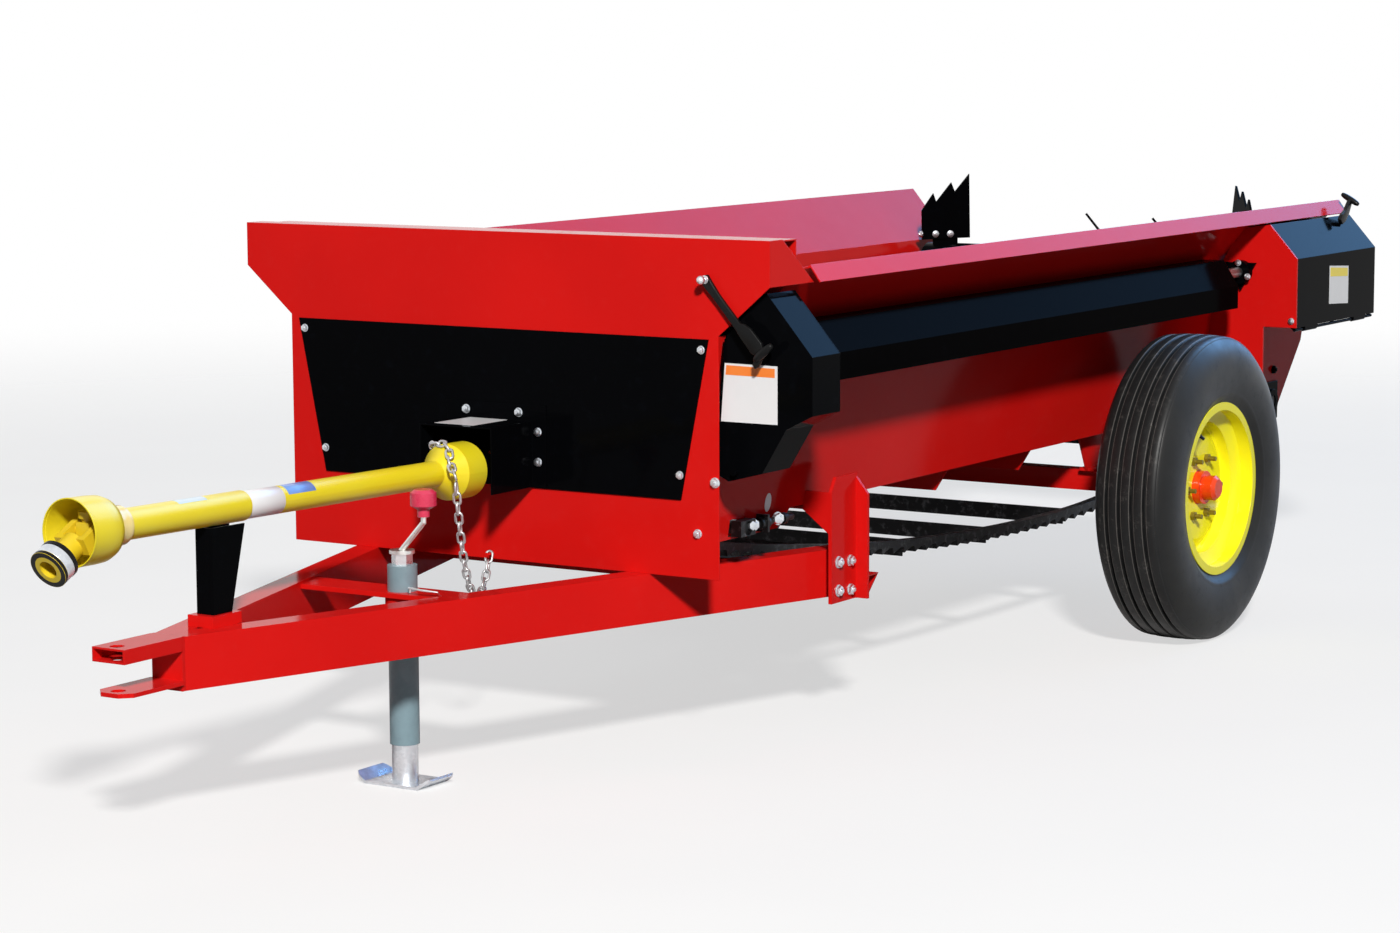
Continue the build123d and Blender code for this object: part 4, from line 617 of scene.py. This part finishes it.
# the front tube and its bell are one thin wall; outlines give the radius and the distance from the rear joint
TUBE_MOUTH, BELL_NECK, BELL_MOUTH, BELL_RADIUS, WALL = 706.0, 1072.0, 1168.9, 62.5, 2.1
NECK_RADIUS = 34
skin = [(FRONT_TUBE - 0.1, TUBE_MOUTH), (FRONT_TUBE, TUBE_MOUTH + 1),
        (29.0, BELL_NECK - 36), (32.0, BELL_NECK - 33), (33.4, BELL_NECK),
        (46.0, BELL_NECK + 6), (56.0, BELL_NECK + 15), (60.4, BELL_NECK + 28), (61.6, BELL_NECK + 50),
        (61.9, BELL_MOUTH - 6), (BELL_RADIUS, BELL_MOUTH - 5), (BELL_RADIUS, BELL_MOUTH)]
inside = [(radius - WALL, reach - (WALL if radius > NECK_RADIUS and reach < BELL_MOUTH - 7 else 0))
          for radius, reach in skin[::-1]]
mesh = bmesh.new()
add_spun(mesh, skin + inside, REAR_JOINT, SHAFT_WAY, 72)
piece("front_shield_bell", mesh, "driveline_front", SHIELD_YELLOW, 30, ("driveline_front_shield",))
clamp = [(31.6, BELL_NECK - 34), (35.6, BELL_NECK - 33), (36.4, BELL_NECK - 31), (35.4, BELL_NECK - 24),
         (35.4, BELL_NECK - 11), (36.4, BELL_NECK - 4), (35.6, BELL_NECK - 2), (33.0, BELL_NECK - 1)]
mesh = bmesh.new()
add_spun(mesh, clamp, REAR_JOINT, SHAFT_WAY, 64)
piece("shield_clamp", mesh, "driveline_front", RING_AMBER, 40, ("driveline_clamp_ring",))

# the quick-release collar: two bands round it, and a lip over its mouth; places back from the mouth are minus
COLLAR_RADIUS, LIP_RADIUS, LIP_MOUTH = 36, 37.3, 27
COLLAR_WAY = Vector(mounts["pto_collar_bore"]["axis"])
COLLAR_END = (Vector(mounts["pto_collar_bore"]["pos_m"])
              + COLLAR_WAY * mounts["pto_collar_bore"]["dims"]["length_mm"] / 2000)
for name, finish, start, end, radius in (("collar_grip", STRAP, -36, -27, 37.9),
                                         ("collar_sleeve", ZINC, -27, -7, 37.3)):
    band = [(COLLAR_RADIUS, start), (radius - 0.9, start), (radius, start + 0.9), (radius, end - 0.9),
            (radius - 0.9, end), (COLLAR_RADIUS, end)]
    mesh = bmesh.new()
    add_spun(mesh, band, COLLAR_END, COLLAR_WAY, 64)
    piece(name, mesh, "tractor_yoke", finish)
lip = [(LIP_MOUTH, 0.1), (LIP_RADIUS - 0.8, 0.1), (LIP_RADIUS, -1.0), (LIP_RADIUS, -7), (COLLAR_RADIUS, -7),
       (COLLAR_RADIUS, -0.4), (LIP_MOUTH, -0.4)]
mesh = bmesh.new()
add_spun(mesh, lip, COLLAR_END, COLLAR_WAY, 64)
piece("collar_lip", mesh, "tractor_yoke", STRAP)


# ---- restraint chain -----------------------------------------------------
LINK_WIRE = 2.7  # radius


def closed_parts(mesh):
    """The corners of each separate part of a mesh, in the mesh's own order."""
    parts, found = [], set()
    for first in mesh.verts:
        if first in found:
            continue
        found.add(first)
        waiting, part = [first], []
        while waiting:
            vert = waiting.pop()
            part.append(vert.co.copy())
            near = [edge.other_vert(vert) for edge in vert.link_edges]
            waiting += [other for other in near if other not in found]
            found.update(near)
        parts.append(part)
    return parts


def add_link(mesh, centre, along, across, half, side):
    """Oval link of round wire: half its length and half its width to the wire's middle, in millimetres."""
    along, across = along.normalized(), across.normalized()
    end = along * (half - side) / 1000
    oval = (arc(centre + end, across, along, side, 0, 180, 6)
            + arc(centre - end, across, along, side, 180, 360, 6))
    add_wire(mesh, oval, LINK_WIRE, 8, closed=True)


# each of the node's flat-sided links gives the place, the directions and the size of a round-wire link
solids = bmesh.new()
solids.from_mesh(frame["nodes"]["restraint_chain"].data)
bmesh.ops.remove_doubles(solids, verts=solids.verts, dist=1e-6)
links = closed_parts(solids)
solids.free()
mesh = bmesh.new()
for link in links:
    centre = sum(link, Vector()) / len(link)
    spread = np.array([corner - centre for corner in link])
    _, across, along = (Vector(way) for way in np.linalg.eigh(spread.T @ spread)[1].T)
    half = max(abs((corner - centre).dot(along)) for corner in link) * 1000 - LINK_WIRE
    side = max(abs((corner - centre).dot(across)) for corner in link) * 1000 - LINK_WIRE
    add_link(mesh, centre, along, across, half, side)
piece("welded_chain", mesh, "chassis", GALVANISED, 60, ("restraint_chain",))

# the chain's last links climb from its hanging end over the bell's cone and hook into the bell
ROUTE = [at(*place) for place in ((2116, 67, 588), (2106, 54, 602), (2092, 34, 615), (2077, 24, 632),
                                  (2065, 6, 646), (2058, -14, 647), (2054, -32, 640))]
STEPS = 40  # in each leg of the route
pitch = 2 * (half - LINK_WIRE) / 1000
spots = [ROUTE[0].lerp(ROUTE[1], 0.45)]
for start, end in zip(ROUTE, ROUTE[1:]):
    for step in range(1, STEPS + 1):
        spot = start.lerp(end, step / STEPS)
        if (spot - spots[-1]).length >= pitch:
            spots.append(spot)
mesh = bmesh.new()
for index, spot in enumerate(spots):
    along = spots[min(index + 1, len(spots) - 1)] - spots[max(index - 1, 0)]
    lean = Matrix.Rotation(radians(45 if index % 2 else -45), 3, along)
    add_link(mesh, spot, along, lean @ along.cross(Vector(FORWARD)), half, side)
along.normalize()
hook_eye = spots[-1] + along * pitch / 2
add_wire(mesh, arc(hook_eye, along, Vector((0.35, 0, 1)).normalized(), 9, 200, -40, 10), 2.6, 8)
piece("chain_on_bell", mesh, "driveline_rear", GALVANISED, 60)


# ---- rubber latches ------------------------------------------------------
def add_tee(mesh, middle, way, radius, half):
    """Rubber T bar, thicker in the middle than at its rounded ends; radius and half length in millimetres."""
    angles = [radians(angle) for angle in range(-88, 89, 11)]
    outline = [(radius * cos(angle) ** 0.5, half * sin(angle)) for angle in angles]
    add_spun(mesh, [(0.05, -half)] + outline + [(0.05, half)], middle, way, 20)


def add_strap(mesh, corners, thick):
    """Flat rubber strap cut to an outline, with rounded edges; places in metres, thickness in millimetres."""
    round_edges(mesh, edges_of(add_plate(mesh, corners, thick)), 2.2, 3)


# outlines across the machine (y, z) of the front latch's strap and of the tongue under its T bar
FRONT_STRAP = ((506, 992), (503, 980), (510, 971), (535, 945), (556, 921), (584, 888), (592, 876), (618, 845),
               (634, 838), (646, 852), (642, 866), (617, 893), (603, 901), (594, 902), (566, 933), (545, 957),
               (526, 983), (518, 995))
FRONT_TONGUE = ((633, 842), (621, 824), (626, 814), (634, 818), (645, 838))
EYE_Y, EYE_Z = 513.7, 985.0
STRAP_X = millimetres("front_latch")[0][0] + 22
mesh = bmesh.new()
add_strap(mesh, [at(STRAP_X, y, z) for y, z in FRONT_STRAP], 9)
add_tee(mesh, at(STRAP_X + 8, 646.5, 847), (0, 35, 29), 8.5, 26)
add_strap(mesh, [at(STRAP_X, y, z) for y, z in FRONT_TONGUE], 8)
add_wire(mesh, [at(STRAP_X - 6, 633, 838), at(STRAP_X - 24, 633, 838)], 5.5)
piece("front_latch_strap", mesh, "front_guard", STRAP, 40, ("front_latch",))

# the pin stays on the header: a stem through the strap's eye, a ball and a washer
mesh = bmesh.new()
add_round(mesh, at(STRAP_X - 12, EYE_Y, EYE_Z), FORWARD, 4.2, 34)
ball = bmesh.ops.create_uvsphere(mesh, u_segments=24, v_segments=14, radius=0.0088)
bmesh.ops.translate(mesh, verts=ball["verts"], vec=at(STRAP_X + 24, EYE_Y, EYE_Z))
add_round(mesh, at(STRAP_X + 9.2, EYE_Y, EYE_Z), FORWARD, 8.5, 2, 20, bevel=0.5)
piece("front_latch_pin", mesh, "chassis", ZINC)

# outline along the machine (x, z) of the rear latch's strap
REAR_STRAP = ((-1008, 1008), (-992, 1012), (-962, 985), (-938, 975), (-925, 962), (-940, 948), (-962, 955),
              (-985, 975))
mesh = bmesh.new()
add_tee(mesh, at(-1000, 692, 1011), (0, 0.87, -0.5), 8.0, 28)
add_strap(mesh, [at(x, 687, z) for x, z in REAR_STRAP], 10)
piece("rear_latch_strap", mesh, "rear_guard", STRAP, 40, ("rear_latch",))


# ---- jack ----------------------------------------------------------------
BAIL = ((2300, 88, 366), (2284, 77, 392), (2312, 96, 398), (2312, 128, 396), (2300, 156, 392),
        (2288, 158, 378))
mesh = bmesh.new()
add_wire(mesh, [at(*place) for place in BAIL], 2.2, 8)
piece("jack_pin_bail", mesh, "chassis", ZINC)


# ---- camera and light ----------------------------------------------------
EYE = at(7612.5, 4131.9, 1497.7)
HEADING, DOWN, ROLL = radians(32.41), radians(7.42), radians(-0.26)
LENS, SENSOR = 89.0486, 36

look = Vector((-cos(DOWN) * cos(HEADING), -cos(DOWN) * sin(HEADING), -sin(DOWN)))
level = look.cross(Vector(UP)).normalized()
upright = level.cross(look)
right = level * cos(ROLL) + upright * sin(ROLL)
up = upright * cos(ROLL) - level * sin(ROLL)
camera = bpy.data.objects.new("camera", bpy.data.cameras.new("camera"))
camera.data.lens, camera.data.sensor_width = LENS, SENSOR
camera.matrix_world = Matrix.Translation(EYE) @ Matrix((right, up, -look)).transposed().to_4x4()
bpy.context.collection.objects.link(camera)
bpy.context.scene.camera = camera


def lamp(name, towards, distance, size, power, colour=(1, 1, 1)):
    """Round soft lamp in a direction from the middle of the machine, aimed back at it; metres and watts."""
    data = bpy.data.lights.new(name, "AREA")
    data.shape, data.size, data.energy, data.color = "DISK", size, power, colour
    thing = bpy.data.objects.new(name, data)
    middle = Vector((0, 0, 0.5))
    way = Vector(towards).normalized()
    thing.matrix_world = Matrix.Translation(middle + way * distance) @ turned(way)
    bpy.context.collection.objects.link(thing)
    return thing


lamp("key", (1.31, 1.0, 0.99), 18.0, 1.6, 3700, (1.0, 0.975, 0.94))
lamp("sky", (-0.95, 0.25, 0.62), 9.0, 8.0, 60, (0.36, 0.62, 1.0))
lamp("fill", (0.6, 1.0, 0.15), 9.0, 6.0, 10)
lamp("back", (-1.0, -0.9, 0.9), 9.0, 5.0, 90)
# a blue card that shows only in the gloss of what faces up
card = lamp("card", (-0.84, 0.13, 0.53), 13.0, 11.0, 1950, (0.10, 0.42, 0.95))
card.visible_diffuse = False

world = bpy.data.worlds.new("studio")
bpy.context.scene.world = world
air = NodeTree(world)
camera_ray, glossy_ray, transmission_ray = (
    air.node("LightPath", output=ray) for ray in ("Is Camera Ray", "Is Glossy Ray", "Is Transmission Ray"))
seen = camera_ray.maths("MAXIMUM", transmission_ray).maths("MAXIMUM", glossy_ray)
dim = air.node("Background", {}, {"Color": rgb(0.80, 0.88, 1.0), "Strength": 0.10})
white = air.node("Background", {}, {"Color": rgb(1, 1, 1), "Strength": 1.0})
air.feed(air.nodes["World Output"].inputs["Surface"], air.node("MixShader", {}, {0: seen, 1: dim, 2: white}))

# pale floor: it looks nearly white, throws less light back than it shows, and fades out far from the machine
GLOW, FADE_START, FADE_END, FLOOR_RADIUS = 0.62, 4.0, 10.0, 14
ground = Finish("studio floor", Roughness=0.9, Specular_IOR_Level=0.1)
cloud = ground.noise(1.5, 3).between(0.3, 0.7)
pale = ground.mix(cloud, rgb(0.93, 0.93, 0.93), rgb(0.90, 0.90, 0.905))
bounced = ground.node("LightPath", output="Is Diffuse Ray")
ground.set(Base_Color=ground.mix(bounced, pale, rgb(0.20, 0.20, 0.20)))
distance = ground.node("VectorMath", {"operation": "LENGTH"}, {0: ground.place}, output="Value")
fade = distance.between(FADE_START, FADE_END)
glow = ground.node("Emission", {}, {"Color": rgb(1, 1, 1), "Strength": 1.0})
clear = ground.node("BsdfTransparent")
lifted = ground.node("LightPath", output="Is Camera Ray") * GLOW
lit = Number(ground, ground.surface.outputs[0])
shown = ground.node("MixShader", {}, {0: lifted, 1: lit, 2: glow})
faded = ground.node("MixShader", {}, {0: fade, 1: shown, 2: clear})
ground.feed(ground.nodes["Material Output"].inputs["Surface"], faded)
mesh = bmesh.new()
bmesh.ops.create_circle(mesh, cap_ends=True, segments=64, radius=FLOOR_RADIUS)
data = bpy.data.meshes.new("floor")
mesh.to_mesh(data)
mesh.free()
data.materials.append(ground.material)
floor = bpy.data.objects.new("studio_floor", data)
floor.location.z = -0.0005
bpy.context.collection.objects.link(floor)

bpy.context.scene.view_settings.view_transform = "Standard"
